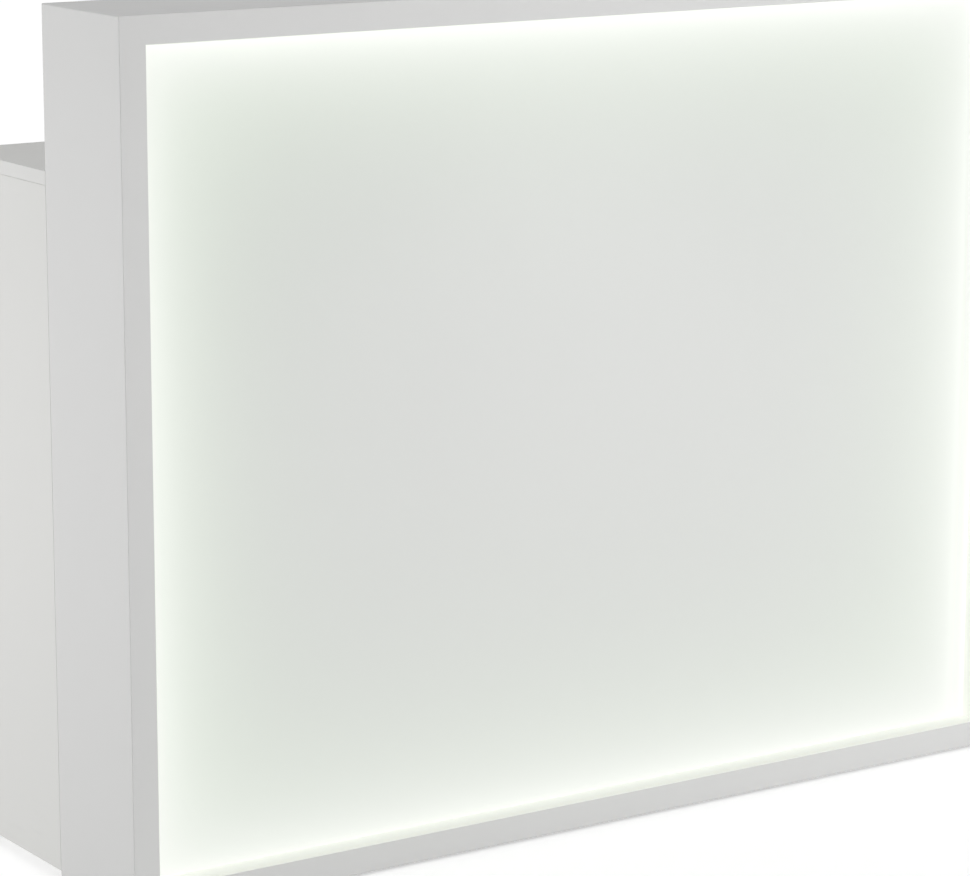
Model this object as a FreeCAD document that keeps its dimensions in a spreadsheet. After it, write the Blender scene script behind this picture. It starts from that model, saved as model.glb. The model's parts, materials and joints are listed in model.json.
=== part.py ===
import FreeCAD, Part
import math
import os
import re
import Sketcher

# Reception desk: a lit frame that faces the customers, and a worktop on two gables behind it.
# Millimetres. The desk stands on z = 0, its front faces -Y, and the origin lies on the floor
# under the middle of its outline. Left and right are as a customer sees them.

SIZES = {
    # Outline of the whole desk
    "overall_width": 1390,
    "overall_height": 1105,
    "floor_gap": 3,
    # Front frame: four thick boards, mitred at the corners
    "frame_depth": 195,
    "board_thickness": 36,
    "arris_radius": 1.2,
    "corner_chamfer": 1.5,
    # Opal front panel and the white reflector behind it, both in grooves of the boards
    "panel_recess": 33,
    "diffuser_thickness": 5,
    "groove_depth": 8,
    "chamber_depth": 90,
    "reflector_thickness": 3,
    "reflector_groove": 6,
    "groove_play": 0.3,
    "edge_play": 1,
    # Staff-side panels, in a rebate of the boards
    "rear_panel_thickness": 18,
    "rebate_width": 12,
    "rebate_play": 0.3,
    "panel_gap": 2,
    # Light channels and tapes
    "channel_setback": 14,
    "channel_width": 17,
    "channel_height": 8,
    "channel_wall": 1.2,
    "channel_end_gap": 16,
    "tape_width": 10,
    "tape_thickness": 0.6,
    "chip_size": 5,
    "chip_height": 1.6,
    "chip_pitch": 50,
    # Angles that hold the mitres
    "bracket_leg": 45,
    "bracket_sheet": 3,
    "bracket_width": 30,
    # Worktop and gables
    "worktop_height": 902,
    "worktop_depth": 250,
    "worktop_thickness": 18,
    "gable_thickness": 18,
    "gable_lift": 10,
    "edging_thickness": 2,
    "edging_round": 1,
    # Batten on the rear panel and apron between the gables
    "batten_depth": 30,
    "batten_height": 25,
    "batten_inset": 25,
    "apron_thickness": 18,
    "apron_height": 100,
    "apron_setback": 70,
    # Cable tray: a folded sheet under the worktop
    "tray_length": 700,
    "tray_setback": 45,
    "tray_depth": 110,
    "tray_height": 90,
    "tray_lip": 40,
    "tray_flange": 25,
    "tray_sheet": 1.5,
    "tray_bend": 2,
    # Cable outlets in the worktop, flush with it, over the ends of the tray
    "grommet_inset": 50,
    "grommet_setback": 115,
    "grommet_hole": 80,
    "grommet_overhang": 4,
    "grommet_flange": 2,
    "grommet_wall": 2.5,
    "grommet_length": 16,
    "grommet_seat": 3,
    "grommet_seat_thickness": 1.5,
    "grommet_play": 0.2,
    "cap_thickness": 3,
    "cap_play": 0.3,
    "notch_width": 26,
    "notch_depth": 16,
    # Driver of the lights, on the rear panel under the worktop
    "driver_drop": 170,
    "driver_length": 186,
    "driver_depth": 38,
    "driver_height": 60,
    "driver_foot": 12,
    "driver_foot_thickness": 3,
    "foot_screw_margin": 18,
    "fin_depth": 6,
    "fin_width": 3,
    "fin_margin": 4,
    "end_length": 22,
    "end_round": 2,
    # Mains inlet and rocker switch in the driver's left end
    "inlet_height": 18,
    "inlet_width": 24,
    "inlet_rise": 16,
    "inlet_bevel": 5,
    "inlet_depth": 18,
    "blade_length": 12,
    "blade_wide": 4,
    "blade_thin": 2,
    "blade_spacing": 7,
    "earth_offset": 4,
    "rocker_height": 44,
    "rocker_length": 18,
    "rocker_width": 12,
    "rocker_front": 3.5,
    "rocker_dip": 1.3,
    "rocker_back": 4,
    "rocker_back_taper": 1,
    "rocker_play": 0.8,
    "rocker_side_play": 0.5,
    "rocker_depth": 14,
    "rocker_tilt": 8,
    "pivot_depth": 3,
    "pivot_diameter": 3,
    "pivot_reach": 1.2,
    "pivot_play": 0.05,
    # Lead from the driver to the right-hand tape
    "lead_diameter": 4,
    "lead_bend": 22,
    "lead_tail": 12,
    "lead_stub": 2,
    "lead_grip": 8,
    "lead_play": 0.3,
    "bush_diameter": 12,
    "bush_flange": 16,
    "bush_flange_thickness": 1.5,
    # Levelling feet
    "pad_diameter": 30,
    "pad_chamfer": 1.5,
    "rear_pad_diameter": 17,
    "foot_recess": 8,
    "recess_play": 1,
    "stud_diameter": 8,
    "stud_reach": 25,
    "stud_grip": 5,
    "stud_play": 0.05,
    "key_width": 4,
    "key_depth": 5,
    "insert_diameter": 12,
    "insert_length": 20,
    "foot_inset": 90,
    "foot_margin": 46,
    "rear_foot_setback": 35,
    # Knock-down fittings
    "cam_diameter": 15,
    "cam_depth": 13.5,
    "cam_distance": 34,
    "cam_play": 0.3,
    "bolt_diameter": 7,
    "bolt_bite": 11,
    "dowel_diameter": 8,
    "dowel_depth": 18,
    "dowel_in_worktop": 12,
    "fit_play": 0.05,
    "joint_low": 120,
    "joint_high": 640,
    "joint_front": 70,
    "joint_rear": 150,
    "dowel_step": 32,
    # Wood screws
    "screw_diameter": 4,
    "screw_length": 32,
    "batten_screw_length": 44,
    "short_screw_length": 14,
    "head_diameter": 8,
    "head_height": 3,
    "screw_margin": 150,
    "batten_margin": 100,
    "tray_margin": 60,
}

ALIAS = re.compile(r"\b(" + "|".join(SIZES) + r")\b")
ALONG = {"XY_Plane": 1, "XZ_Plane": -1, "YZ_Plane": 1}
ON_SIDE = 1e-4
LEAST_CUT = 1e-3

# How many there are of what repeats
ROW_SCREW_COUNT = 4
SIDE_SCREW_COUNT = 3
BATTEN_SCREW_COUNT = 5
TRAY_SCREW_COUNT = 4
FIN_COUNT = 6
KEY_SIDE_COUNT = 6

doc = FreeCAD.newDocument("reception_desk")
sheet = doc.addObject("Spreadsheet::Sheet", "sizes")
for row, (alias, number) in enumerate(SIZES.items(), start=1):
    sheet.set(f"A{row}", alias)
    sheet.set(f"B{row}", str(number))
    sheet.setAlias(f"B{row}", alias)
doc.recompute()


def spread(low, high, count):
    """Formulas for evenly spaced values from low to high, both included."""
    return [f"({low} + ({high} - {low}) * {index} / {count - 1})" for index in range(count)]


# Places that several pieces share, as formulas over the sheet
LEFT = "(-overall_width / 2)"
RIGHT = "(overall_width / 2)"
FRONT = "(-(frame_depth + worktop_depth) / 2)"
REAR = "((frame_depth + worktop_depth) / 2)"
FRAME_REAR = "((frame_depth - worktop_depth) / 2)"
TOP = "overall_height"
FRAME_HEIGHT = "(overall_height - floor_gap)"
UNDER_TOP = "(worktop_height - worktop_thickness)"
GABLE_BOTTOM = "(floor_gap + gable_lift)"
GABLE_HEIGHT = f"({UNDER_TOP} - {GABLE_BOTTOM})"
GABLE_DEPTH = "(worktop_depth - edging_thickness)"
REFLECTOR_FACE = "(panel_recess + diffuser_thickness + chamber_depth)"
CHANNEL_FRONT = "(panel_recess + diffuser_thickness + channel_setback)"
CHANNEL_MIDDLE = f"({CHANNEL_FRONT} + channel_width / 2)"
REBATE_FLOOR = "(frame_depth - rear_panel_thickness)"
CUT_MARGIN = "board_thickness"
INNER_TOP = "(overall_height - board_thickness)"
INNER_BOTTOM = "(floor_gap + board_thickness)"

# Screw places, shared by the rear panels, the boards that they bite into and the screws
HALF_PANEL = "(overall_width / 2 - board_thickness + rebate_width - rebate_play)"
SCREW_LINE_X = "(overall_width / 2 - board_thickness + rebate_width / 2)"
SCREW_LINE_TOP = "(overall_height - board_thickness + rebate_width / 2)"
SCREW_LINE_LOW = "(floor_gap + board_thickness - rebate_width / 2)"
ACCESS_BOTTOM = "(worktop_height + panel_gap)"
PANEL_BOTTOM = "(floor_gap + board_thickness - rebate_width)"
ROW_X = spread("(screw_margin - overall_width / 2)", "(overall_width / 2 - screw_margin)",
               ROW_SCREW_COUNT)
TOP_ROW = [(x, SCREW_LINE_TOP) for x in ROW_X]
LOW_ROW = [(x, SCREW_LINE_LOW) for x in ROW_X]
ACCESS_SIDE_Z = [f"({ACCESS_BOTTOM} + ({SCREW_LINE_TOP} - {ACCESS_BOTTOM}) / 2)"]
LOWER_SIDE_Z = spread(f"({SCREW_LINE_LOW} + screw_margin)", "(worktop_height - screw_margin)",
                      SIDE_SCREW_COUNT)
SIDE_SCREWS = {"left": f"-{SCREW_LINE_X}", "right": SCREW_LINE_X}
ACCESS_SCREWS = TOP_ROW + [(x, z) for x in SIDE_SCREWS.values() for z in ACCESS_SIDE_Z]
LOWER_SCREWS = LOW_ROW + [(x, z) for x in SIDE_SCREWS.values() for z in LOWER_SIDE_Z]

# Joint places of the gables, in the desk's own frame
GABLE_MIDDLE = {"left": f"({LEFT} + gable_thickness / 2)", "right": f"({RIGHT} - gable_thickness / 2)"}
GABLE_INNER = {"left": f"({LEFT} + gable_thickness)", "right": f"({RIGHT} - gable_thickness)"}
BOLT_HEIGHTS = [f"({GABLE_BOTTOM} + {alias})" for alias in ("joint_low", "joint_high")]
PEG_HEIGHTS = [f"({height} + dowel_step)" for height in BOLT_HEIGHTS]
BOLT_DEPTHS = [f"({FRAME_REAR} + {alias})" for alias in ("joint_front", "joint_rear")]
PEG_DEPTHS = [f"({depth} - dowel_step)" for depth in BOLT_DEPTHS]
APRON_FACE = f"({REAR} - apron_setback)"
APRON_MIDDLE_Y = f"({APRON_FACE} + apron_thickness / 2)"
APRON_MIDDLE_Z = f"({UNDER_TOP} - apron_height / 2)"
REAR_FOOT_Y = f"({REAR} - rear_foot_setback)"
CAM_LINE_Y = f"({FRAME_REAR} + cam_distance)"
CAM_LINE_Z = f"({UNDER_TOP} - cam_distance)"
INWARDS = {"left": 1, "right": -1}

# The lead's route in plan: out of the driver's right end, round into the rear panel, straight
# to the front, and round again onto the right-hand tape
LEAD_X = f"({RIGHT} - board_thickness - channel_wall - tape_thickness - lead_bend)"
LEAD_OFFSET = "(bush_flange_thickness + lead_stub + lead_bend)"
LEAD_Y = f"({FRAME_REAR} + {LEAD_OFFSET})"
LEAD_Z = f"({UNDER_TOP} - driver_drop + driver_height / 2)"
LEAD_END_Y = f"({FRONT} + {CHANNEL_MIDDLE})"
DRIVER_RIGHT = f"({LEAD_X} - lead_bend - lead_tail)"
DRIVER_LEFT = f"({DRIVER_RIGHT} - driver_length - 2 * end_length)"
DRIVER_BOTTOM = f"({UNDER_TOP} - driver_drop)"
DRIVER_MIDDLE_Y = f"({FRAME_REAR} + driver_depth / 2)"

# Screws of the batten, the cable tray and the driver
BATTEN_LENGTH = "(overall_width - 2 * gable_thickness - 2 * batten_inset)"
BATTEN_MIDDLE_Z = f"({UNDER_TOP} - batten_height / 2)"
BATTEN_SPOTS = [(x, BATTEN_MIDDLE_Z) for x in spread(
    f"(batten_margin - {BATTEN_LENGTH} / 2)", f"({BATTEN_LENGTH} / 2 - batten_margin)", BATTEN_SCREW_COUNT)]
TRAY_FRONT = f"({FRAME_REAR} + tray_setback)"
TRAY_SPOTS = [(x, f"({TRAY_FRONT} + tray_flange / 2)") for x in spread(
    "(tray_margin - tray_length / 2)", "(tray_length / 2 - tray_margin)", TRAY_SCREW_COUNT)]
FLANGE_LINES = [f"({DRIVER_BOTTOM} - driver_foot / 2)",
                f"({DRIVER_BOTTOM} + driver_height + driver_foot / 2)"]
FLANGE_ENDS = [f"({DRIVER_LEFT} + end_length + foot_screw_margin)",
               f"({DRIVER_RIGHT} - end_length - foot_screw_margin)"]
DRIVER_SPOTS = [(x, z) for x in FLANGE_ENDS for z in FLANGE_LINES]

# Cable outlets: their places along the worktop
GROMMET_X = {"left": "(grommet_inset - tray_length / 2)", "right": "(tray_length / 2 - grommet_inset)"}

# Feet: where they stand, the height of the face that they screw into, and the pad's diameter
FOOT_X = {"left": f"({LEFT} + foot_inset)", "right": f"({RIGHT} - foot_inset)"}
FOOT_PLACES = {
    "front": (FOOT_X, f"({FRONT} + foot_margin)", "(floor_gap + foot_recess)", "pad_diameter"),
    "middle": (FOOT_X, f"({FRAME_REAR} - foot_margin)", "(floor_gap + foot_recess)", "pad_diameter"),
    "rear": (GABLE_MIDDLE, REAR_FOOT_Y, GABLE_BOTTOM, "rear_pad_diameter"),
}

# The frame's four sides. Each board is drawn lying down: x runs along it from its mitre's tip,
# y from the front to the rear, and z from the inner face (0) to the outer face.
SIDE_FRAMES = {
    "top": {
        "length": "overall_width",
        "turn": 0,
        "base": (LEFT, FRONT, INNER_TOP),
        "local": lambda x, z: (f"({x} - {LEFT})", f"({z} - {INNER_TOP})"),
        "screws": TOP_ROW,
    },
    "bottom": {
        "length": "overall_width",
        "turn": 180,
        "base": (RIGHT, FRONT, INNER_BOTTOM),
        "local": lambda x, z: (f"({RIGHT} - {x})", f"({INNER_BOTTOM} - {z})"),
        "screws": LOW_ROW,
    },
    "left": {
        "length": FRAME_HEIGHT,
        "turn": -90,
        "base": (f"({LEFT} + board_thickness)", FRONT, "floor_gap"),
        "local": lambda x, z: (f"({z} - floor_gap)", f"({LEFT} + board_thickness - {x})"),
        "screws": [(SIDE_SCREWS["left"], z) for z in ACCESS_SIDE_Z + LOWER_SIDE_Z],
    },
    "right": {
        "length": FRAME_HEIGHT,
        "turn": 90,
        "base": (f"({RIGHT} - board_thickness)", FRONT, TOP),
        "local": lambda x, z: (f"({TOP} - {z})", f"({x} - ({RIGHT} - board_thickness))"),
        "screws": [(SIDE_SCREWS["right"], z) for z in ACCESS_SIDE_Z + LOWER_SIDE_Z],
    },
}


def tie(owner, path, formula):
    """Bind one property to a formula over the sheet's aliases."""
    owner.setExpression(path, ALIAS.sub(r"sizes.\1", formula))


def new_body(label, base=("0", "0", "0"), turn_axis=(0, 1, 0), turn=0):
    """An empty body at a place given by three formulas, turned about one axis through it."""
    body = doc.addObject("PartDesign::Body", label)
    body.Label = label
    body.AllowCompound = True
    body.Placement = FreeCAD.Placement(FreeCAD.Vector(), FreeCAD.Rotation(FreeCAD.Vector(*turn_axis), turn))
    for letter, formula in zip("xyz", base):
        tie(body, f"Placement.Base.{letter}", formula)
    return body


def sketch(body, role, level="0"):
    """A sketch on one of the body's origin planes, moved to a level along the plane's axis."""
    plane = next(feature for feature in body.Origin.OriginFeatures if feature.Role == role)
    drawing = body.newObject("Sketcher::SketchObject", f"{body.Name}_sketch")
    drawing.AttachmentSupport = (plane, [""])
    drawing.MapMode = "FlatFace"
    tie(drawing, "AttachmentOffset.Base.z", level if ALONG[role] > 0 else f"-{level}")
    return drawing


def hold(drawing, geometry, point, place):
    """Fix a point of the drawing by two formulas, measured from the origin."""
    for kind, formula in zip(("DistanceX", "DistanceY"), place):
        index = drawing.addConstraint(Sketcher.Constraint(kind, -1, 1, geometry, point, 1.0))
        tie(drawing, f"Constraints[{index}]", formula)


def outline(drawing, corners):
    """A closed outline of straight lines through corners given as pairs of formulas."""
    count = len(corners)
    turns = [2 * math.pi * index / count for index in range(count)]
    ring = [FreeCAD.Vector(math.cos(turn), math.sin(turn), 0) for turn in turns]
    first = drawing.GeometryCount
    for index in range(count):
        drawing.addGeometry(Part.LineSegment(ring[index], ring[(index + 1) % count]))
    for index, corner in enumerate(corners):
        following = first + (index + 1) % count
        drawing.addConstraint(Sketcher.Constraint("Coincident", first + index, 2, following, 1))
        hold(drawing, first + index, 1, corner)


def rectangle(drawing, low, high):
    """A rectangle between two opposite corners."""
    outline(drawing, [low, (high[0], low[1]), high, (low[0], high[1])])


def circle(drawing, middle, diameter):
    """A circle by its middle and diameter."""
    ring = drawing.addGeometry(Part.Circle(FreeCAD.Vector(), FreeCAD.Vector(0, 0, 1), 1))
    hold(drawing, ring, 3, middle)
    index = drawing.addConstraint(Sketcher.Constraint("Diameter", ring, 2.0))
    tie(drawing, f"Constraints[{index}]", diameter)


def role_of(drawing):
    """The origin plane that a sketch lies on."""
    return drawing.AttachmentSupport[0][0].Role


def pad(body, drawing, length, sign=1):
    """Extrude a sketch towards the positive (sign 1) or negative (sign -1) side of its axis."""
    feature = body.newObject("PartDesign::Pad", f"{body.Name}_pad")
    feature.Profile = drawing
    feature.Reversed = sign != ALONG[role_of(drawing)]
    tie(feature, "Length", length)
    doc.recompute()
    return feature


def pocket(body, drawing, depth, sign):
    """Cut a sketch into the body towards the positive or negative side of its axis."""
    feature = body.newObject("PartDesign::Pocket", f"{body.Name}_pocket")
    feature.Profile = drawing
    feature.Reversed = sign == ALONG[role_of(drawing)]
    tie(feature, "Length", depth)
    doc.recompute()
    return feature


def cut_through(body, drawing):
    """Cut a sketch through the whole body, both ways."""
    feature = body.newObject("PartDesign::Pocket", f"{body.Name}_pocket")
    feature.Profile = drawing
    feature.Type = "ThroughAll"
    feature.SideType = "Symmetric"
    doc.recompute()
    return feature


def value(formula):
    """The number that a formula over the sheet comes to."""
    return float(sheet.evalExpression(ALIAS.sub(r"sizes.\1", formula)))


def drill(body, role, level, spots, diameter, depth, sign):
    """Round blind holes at several spots of one face."""
    drawing = sketch(body, role, level)
    for spot in spots:
        circle(drawing, spot, diameter)
    return pocket(body, drawing, depth, sign)


def rods(body, role, level, spots, diameter, length, sign):
    """Round bars at several spots, standing on one level."""
    drawing = sketch(body, role, level)
    for spot in spots:
        circle(drawing, spot, diameter)
    return pad(body, drawing, length, sign)


def revolve(body, corners):
    """Turn an outline of (radius, height) corners about the body's Z axis."""
    drawing = sketch(body, "XZ_Plane")
    outline(drawing, corners)
    feature = body.newObject("PartDesign::Revolution", f"{body.Name}_turned")
    feature.Profile = drawing
    feature.ReferenceAxis = (drawing, ["V_Axis"])
    feature.Angle = 360
    doc.recompute()
    return feature


def fillet(body, names, radius):
    """Round the named edges of the body's last feature."""
    base = body.Tip
    feature = body.newObject("PartDesign::Fillet", f"{body.Name}_round")
    feature.Base = (base, names)
    tie(feature, "Radius", radius)
    doc.recompute()
    return feature


def round_arrises(body, sides, radius):
    """Round the straight edges that lie on two of the named sides of the body's box."""
    box = body.Tip.Shape.BoundBox
    names = []
    for index, edge in enumerate(body.Tip.Shape.Edges, start=1):
        spans = {"X": (edge.BoundBox.XMin, edge.BoundBox.XMax),
                 "Y": (edge.BoundBox.YMin, edge.BoundBox.YMax),
                 "Z": (edge.BoundBox.ZMin, edge.BoundBox.ZMax)}
        on_side = [side for side in sides
                   if all(abs(bound - getattr(box, side)) < ON_SIDE for bound in spans[side[0]])]
        if len(on_side) >= 2:
            names.append(f"Edge{index}")
    return fillet(body, names, radius)


def round_bends(body, spots, radius):
    """Round the edges along X that pass through the given (y, z) spots of the body's own frame."""
    places = [FreeCAD.Vector(0, value(y), value(z)) for y, z in spots]
    names = []
    for index, edge in enumerate(body.Tip.Shape.Edges, start=1):
        ends = [FreeCAD.Vector(0, vertex.Point.y, vertex.Point.z) for vertex in edge.Vertexes]
        if any(all(end.distanceToPoint(place) < ON_SIDE for end in ends) for place in places):
            names.append(f"Edge{index}")
    return fillet(body, names, radius)


def side_body(label, side):
    """A body in the frame of one of the four boards."""
    frame = SIDE_FRAMES[side]
    return new_body(label, frame["base"], (0, 1, 0), frame["turn"])


def frame_board(label, side):
    """One board: a grooved and rebated section, run to length and mitred at both ends."""
    frame = SIDE_FRAMES[side]
    body = side_body(label, side)
    groove = ("(panel_recess - groove_play)", "(panel_recess + diffuser_thickness + groove_play)")
    slit = (f"({REFLECTOR_FACE} - groove_play)", f"({REFLECTOR_FACE} + reflector_thickness + groove_play)")
    section = sketch(body, "YZ_Plane")
    outline(section, [
        ("0", "0"),
        (groove[0], "0"), (groove[0], "groove_depth"), (groove[1], "groove_depth"), (groove[1], "0"),
        (slit[0], "0"), (slit[0], "reflector_groove"), (slit[1], "reflector_groove"), (slit[1], "0"),
        (REBATE_FLOOR, "0"), (REBATE_FLOOR, "rebate_width"), ("frame_depth", "rebate_width"),
        ("frame_depth", "board_thickness"), ("0", "board_thickness"),
    ])
    pad(body, section, frame["length"])
    round_arrises(body, ("YMin", "YMax", "ZMin", "ZMax"), "arris_radius")
    mitre = sketch(body, "XZ_Plane")
    cut = [
        (f"-{CUT_MARGIN}", f"-{CUT_MARGIN}"),
        (f"(board_thickness + {CUT_MARGIN})", f"-{CUT_MARGIN}"),
        ("(corner_chamfer / 2)", "(board_thickness - corner_chamfer / 2)"),
        ("corner_chamfer", "board_thickness"),
        ("corner_chamfer", f"(board_thickness + {CUT_MARGIN})"),
        (f"-{CUT_MARGIN}", f"(board_thickness + {CUT_MARGIN})"),
    ]
    outline(mitre, cut)
    outline(mitre, [(f"({frame['length']} - {x})", z) for x, z in cut])
    cut_through(body, mitre)
    pilots = [frame["local"](x, z) for x, z in frame["screws"]]
    bite = "(screw_length - rear_panel_thickness + fit_play)"
    drill(body, "XZ_Plane", REBATE_FLOOR, pilots, "(screw_diameter + 2 * fit_play)", bite, -1)
    return body


def led_channel(side):
    """A light channel: a U section on the board's inner face, open towards the chamber."""
    frame = SIDE_FRAMES[side]
    body = side_body(f"led_channel_{side}", side)
    start = "(board_thickness + channel_end_gap)"
    back = f"({CHANNEL_FRONT} + channel_width)"
    section = sketch(body, "YZ_Plane", start)
    outline(section, [
        (CHANNEL_FRONT, "0"), (CHANNEL_FRONT, "-channel_height"),
        (f"({CHANNEL_FRONT} + channel_wall)", "-channel_height"),
        (f"({CHANNEL_FRONT} + channel_wall)", "-channel_wall"),
        (f"({back} - channel_wall)", "-channel_wall"),
        (f"({back} - channel_wall)", "-channel_height"),
        (back, "-channel_height"), (back, "0"),
    ])
    pad(body, section, f"({frame['length']} - 2 * {start})")
    return body


def led_tape(side):
    """A light tape in its channel: a thin strip with a chip at every pitch."""
    frame = SIDE_FRAMES[side]
    body = side_body(f"led_tape_{side}", side)
    start = "(board_thickness + channel_end_gap)"
    run = f"({frame['length']} - 2 * {start})"
    face = "(-channel_wall - tape_thickness)"
    strip = sketch(body, "XY_Plane", face)
    rectangle(strip, (start, f"({CHANNEL_MIDDLE} - tape_width / 2)"),
              (f"({start} + {run})", f"({CHANNEL_MIDDLE} + tape_width / 2)"))
    pad(body, strip, "tape_thickness")
    chip = sketch(body, "XY_Plane", face)
    first = f"({start} + chip_pitch / 2)"
    rectangle(chip, (f"({first} - chip_size / 2)", f"({CHANNEL_MIDDLE} - chip_size / 2)"),
              (f"({first} + chip_size / 2)", f"({CHANNEL_MIDDLE} + chip_size / 2)"))
    lamp = pad(body, chip, "chip_height", -1)
    row_of_chips = body.newObject("PartDesign::LinearPattern", f"{body.Name}_chips")
    row_of_chips.Originals = [lamp]
    row_of_chips.Direction = (strip, ["H_Axis"])
    tie(row_of_chips, "Length", f"({run} - chip_pitch)")
    tie(row_of_chips, "Occurrences", f"floor(({run}) / chip_pitch)")
    body.Tip = row_of_chips
    doc.recompute()
    return body


def front_frame():
    """The four boards, with foot recesses under the bottom one and gable joints behind the sides."""
    top = frame_board("top_board", "top")
    bottom = frame_board("bottom_board", "bottom")
    feet = [(x, y) for x in ("foot_inset", "(overall_width - foot_inset)")
            for y in ("foot_margin", "(frame_depth - foot_margin)")]
    drill(bottom, "XY_Plane", "board_thickness", feet,
          "(pad_diameter + 2 * recess_play)", "foot_recess", -1)
    drill(bottom, "XY_Plane", "(board_thickness - foot_recess)", feet,
          "(insert_diameter + 2 * fit_play)", "insert_length", -1)
    drill(bottom, "XY_Plane", "(board_thickness - foot_recess)", feet,
          "(stud_diameter + 2 * fit_play)", "(stud_reach + fit_play)", -1)
    boards = [top, bottom]
    for side in ("left", "right"):
        board = frame_board(f"{side}_side_board", side)
        bolts = [SIDE_FRAMES[side]["local"](GABLE_MIDDLE[side], z) for z in BOLT_HEIGHTS]
        pegs = [SIDE_FRAMES[side]["local"](GABLE_MIDDLE[side], z) for z in PEG_HEIGHTS]
        drill(board, "XZ_Plane", "frame_depth", bolts, "(bolt_diameter + 2 * fit_play)", "bolt_bite", -1)
        drill(board, "XZ_Plane", "frame_depth", pegs, "(dowel_diameter + 2 * fit_play)", "dowel_depth", -1)
        boards.append(board)
    return boards


def gable(side):
    """A side panel under the worktop, drilled for its cams, bolts, dowels and rear foot."""
    inwards = INWARDS[side]
    corner = {"left": LEFT, "right": f"({RIGHT} - gable_thickness)"}[side]
    body = new_body(f"{side}_gable", (corner, FRAME_REAR, GABLE_BOTTOM))
    board = sketch(body, "YZ_Plane")
    rectangle(board, ("0", "0"), (GABLE_DEPTH, GABLE_HEIGHT))
    pad(body, board, "gable_thickness")
    inner_level = {"left": "gable_thickness", "right": "0"}[side]
    middle = "(gable_thickness / 2)"
    bolt_hole = "(bolt_diameter + 2 * fit_play)"
    peg_hole = "(dowel_diameter + 2 * fit_play)"
    local_y = [f"({depth} - {FRAME_REAR})" for depth in BOLT_DEPTHS]
    peg_y = [f"({depth} - {FRAME_REAR})" for depth in PEG_DEPTHS]
    heights = [f"({z} - {GABLE_BOTTOM})" for z in BOLT_HEIGHTS]
    peg_z = [f"({z} - {GABLE_BOTTOM})" for z in PEG_HEIGHTS]
    cams = [("cam_distance", z) for z in heights]
    cams += [(y, f"({GABLE_HEIGHT} - cam_distance)") for y in local_y]
    drill(body, "YZ_Plane", inner_level, cams,
          "(cam_diameter + 2 * fit_play)", "(cam_depth + fit_play)", -inwards)
    drill(body, "XZ_Plane", "0", [(middle, z) for z in heights], bolt_hole, "cam_distance", 1)
    drill(body, "XZ_Plane", "0", [(middle, z) for z in peg_z], peg_hole, "dowel_depth", 1)
    drill(body, "XY_Plane", GABLE_HEIGHT, [(middle, y) for y in local_y], bolt_hole, "cam_distance", -1)
    drill(body, "XY_Plane", GABLE_HEIGHT, [(middle, y) for y in peg_y], peg_hole, "dowel_depth", -1)
    apron_spot = (f"({APRON_MIDDLE_Y} - {FRAME_REAR})", f"({APRON_MIDDLE_Z} - {GABLE_BOTTOM})")
    drill(body, "YZ_Plane", inner_level, [apron_spot], bolt_hole, "bolt_bite", -inwards)
    foot = [(middle, f"({REAR_FOOT_Y} - {FRAME_REAR})")]
    drill(body, "XY_Plane", "0", foot, "(insert_diameter + 2 * fit_play)", "insert_length", 1)
    drill(body, "XY_Plane", "0", foot, "(stud_diameter + 2 * fit_play)", "(stud_reach + fit_play)", 1)

    strip = new_body(f"{side}_gable_edging", (corner, f"({REAR} - edging_thickness)", GABLE_BOTTOM))
    band = sketch(strip, "XY_Plane")
    rectangle(band, ("0", "0"), ("gable_thickness", "edging_thickness"))
    pad(strip, band, GABLE_HEIGHT)
    round_arrises(strip, ("XMin", "XMax", "YMax"), "edging_round")
    return [body, strip]


def diffuser():
    """The opal front panel: it stands on the groove's floor, with play at its sides and top."""
    reach = "(groove_depth - edge_play)"
    width = f"(overall_width - 2 * board_thickness + 2 * {reach})"
    height = f"({FRAME_HEIGHT} - 2 * board_thickness + groove_depth + {reach})"
    corner = (f"({LEFT} + board_thickness - {reach})", f"({FRONT} + panel_recess)",
              "(floor_gap + board_thickness - groove_depth)")
    body = new_body("diffuser_panel", corner)
    sheet_face = sketch(body, "XZ_Plane")
    rectangle(sheet_face, ("0", "0"), (width, height))
    pad(body, sheet_face, "diffuser_thickness")
    return body


def reflector():
    """The white board behind the lights, pierced where the lead passes."""
    reach = "(reflector_groove - edge_play)"
    corner_x = f"({LEFT} + board_thickness - {reach})"
    corner_z = "(floor_gap + board_thickness - reflector_groove)"
    width = f"(overall_width - 2 * board_thickness + 2 * {reach})"
    height = f"({FRAME_HEIGHT} - 2 * board_thickness + reflector_groove + {reach})"
    body = new_body("reflector_panel", (corner_x, f"({FRONT} + {REFLECTOR_FACE})", corner_z))
    face = sketch(body, "XZ_Plane")
    rectangle(face, ("0", "0"), (width, height))
    lead_spot = (f"({LEAD_X} - {corner_x})", f"({LEAD_Z} - {corner_z})")
    circle(face, lead_spot, "(lead_diameter + 2 * lead_play)")
    pad(body, face, "reflector_thickness")
    return body


def rear_panel(label, bottom, height, spots):
    """A staff-side panel in the rebate, counterbored for its screws."""
    corner_x = f"(-{HALF_PANEL})"
    body = new_body(label, (corner_x, f"({FRAME_REAR} - rear_panel_thickness)", bottom))
    face = sketch(body, "XZ_Plane")
    rectangle(face, ("0", "0"), (f"(2 * {HALF_PANEL})", height))
    pad(body, face, "rear_panel_thickness")
    places = [(f"({x} - {corner_x})", f"({z} - {bottom})") for x, z in spots]
    drill(body, "XZ_Plane", "rear_panel_thickness", places,
          "(head_diameter + 2 * fit_play)", "head_height", -1)
    drill(body, "XZ_Plane", "rear_panel_thickness", places,
          "(screw_diameter + 2 * fit_play)", "rear_panel_thickness", -1)
    return body


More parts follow.
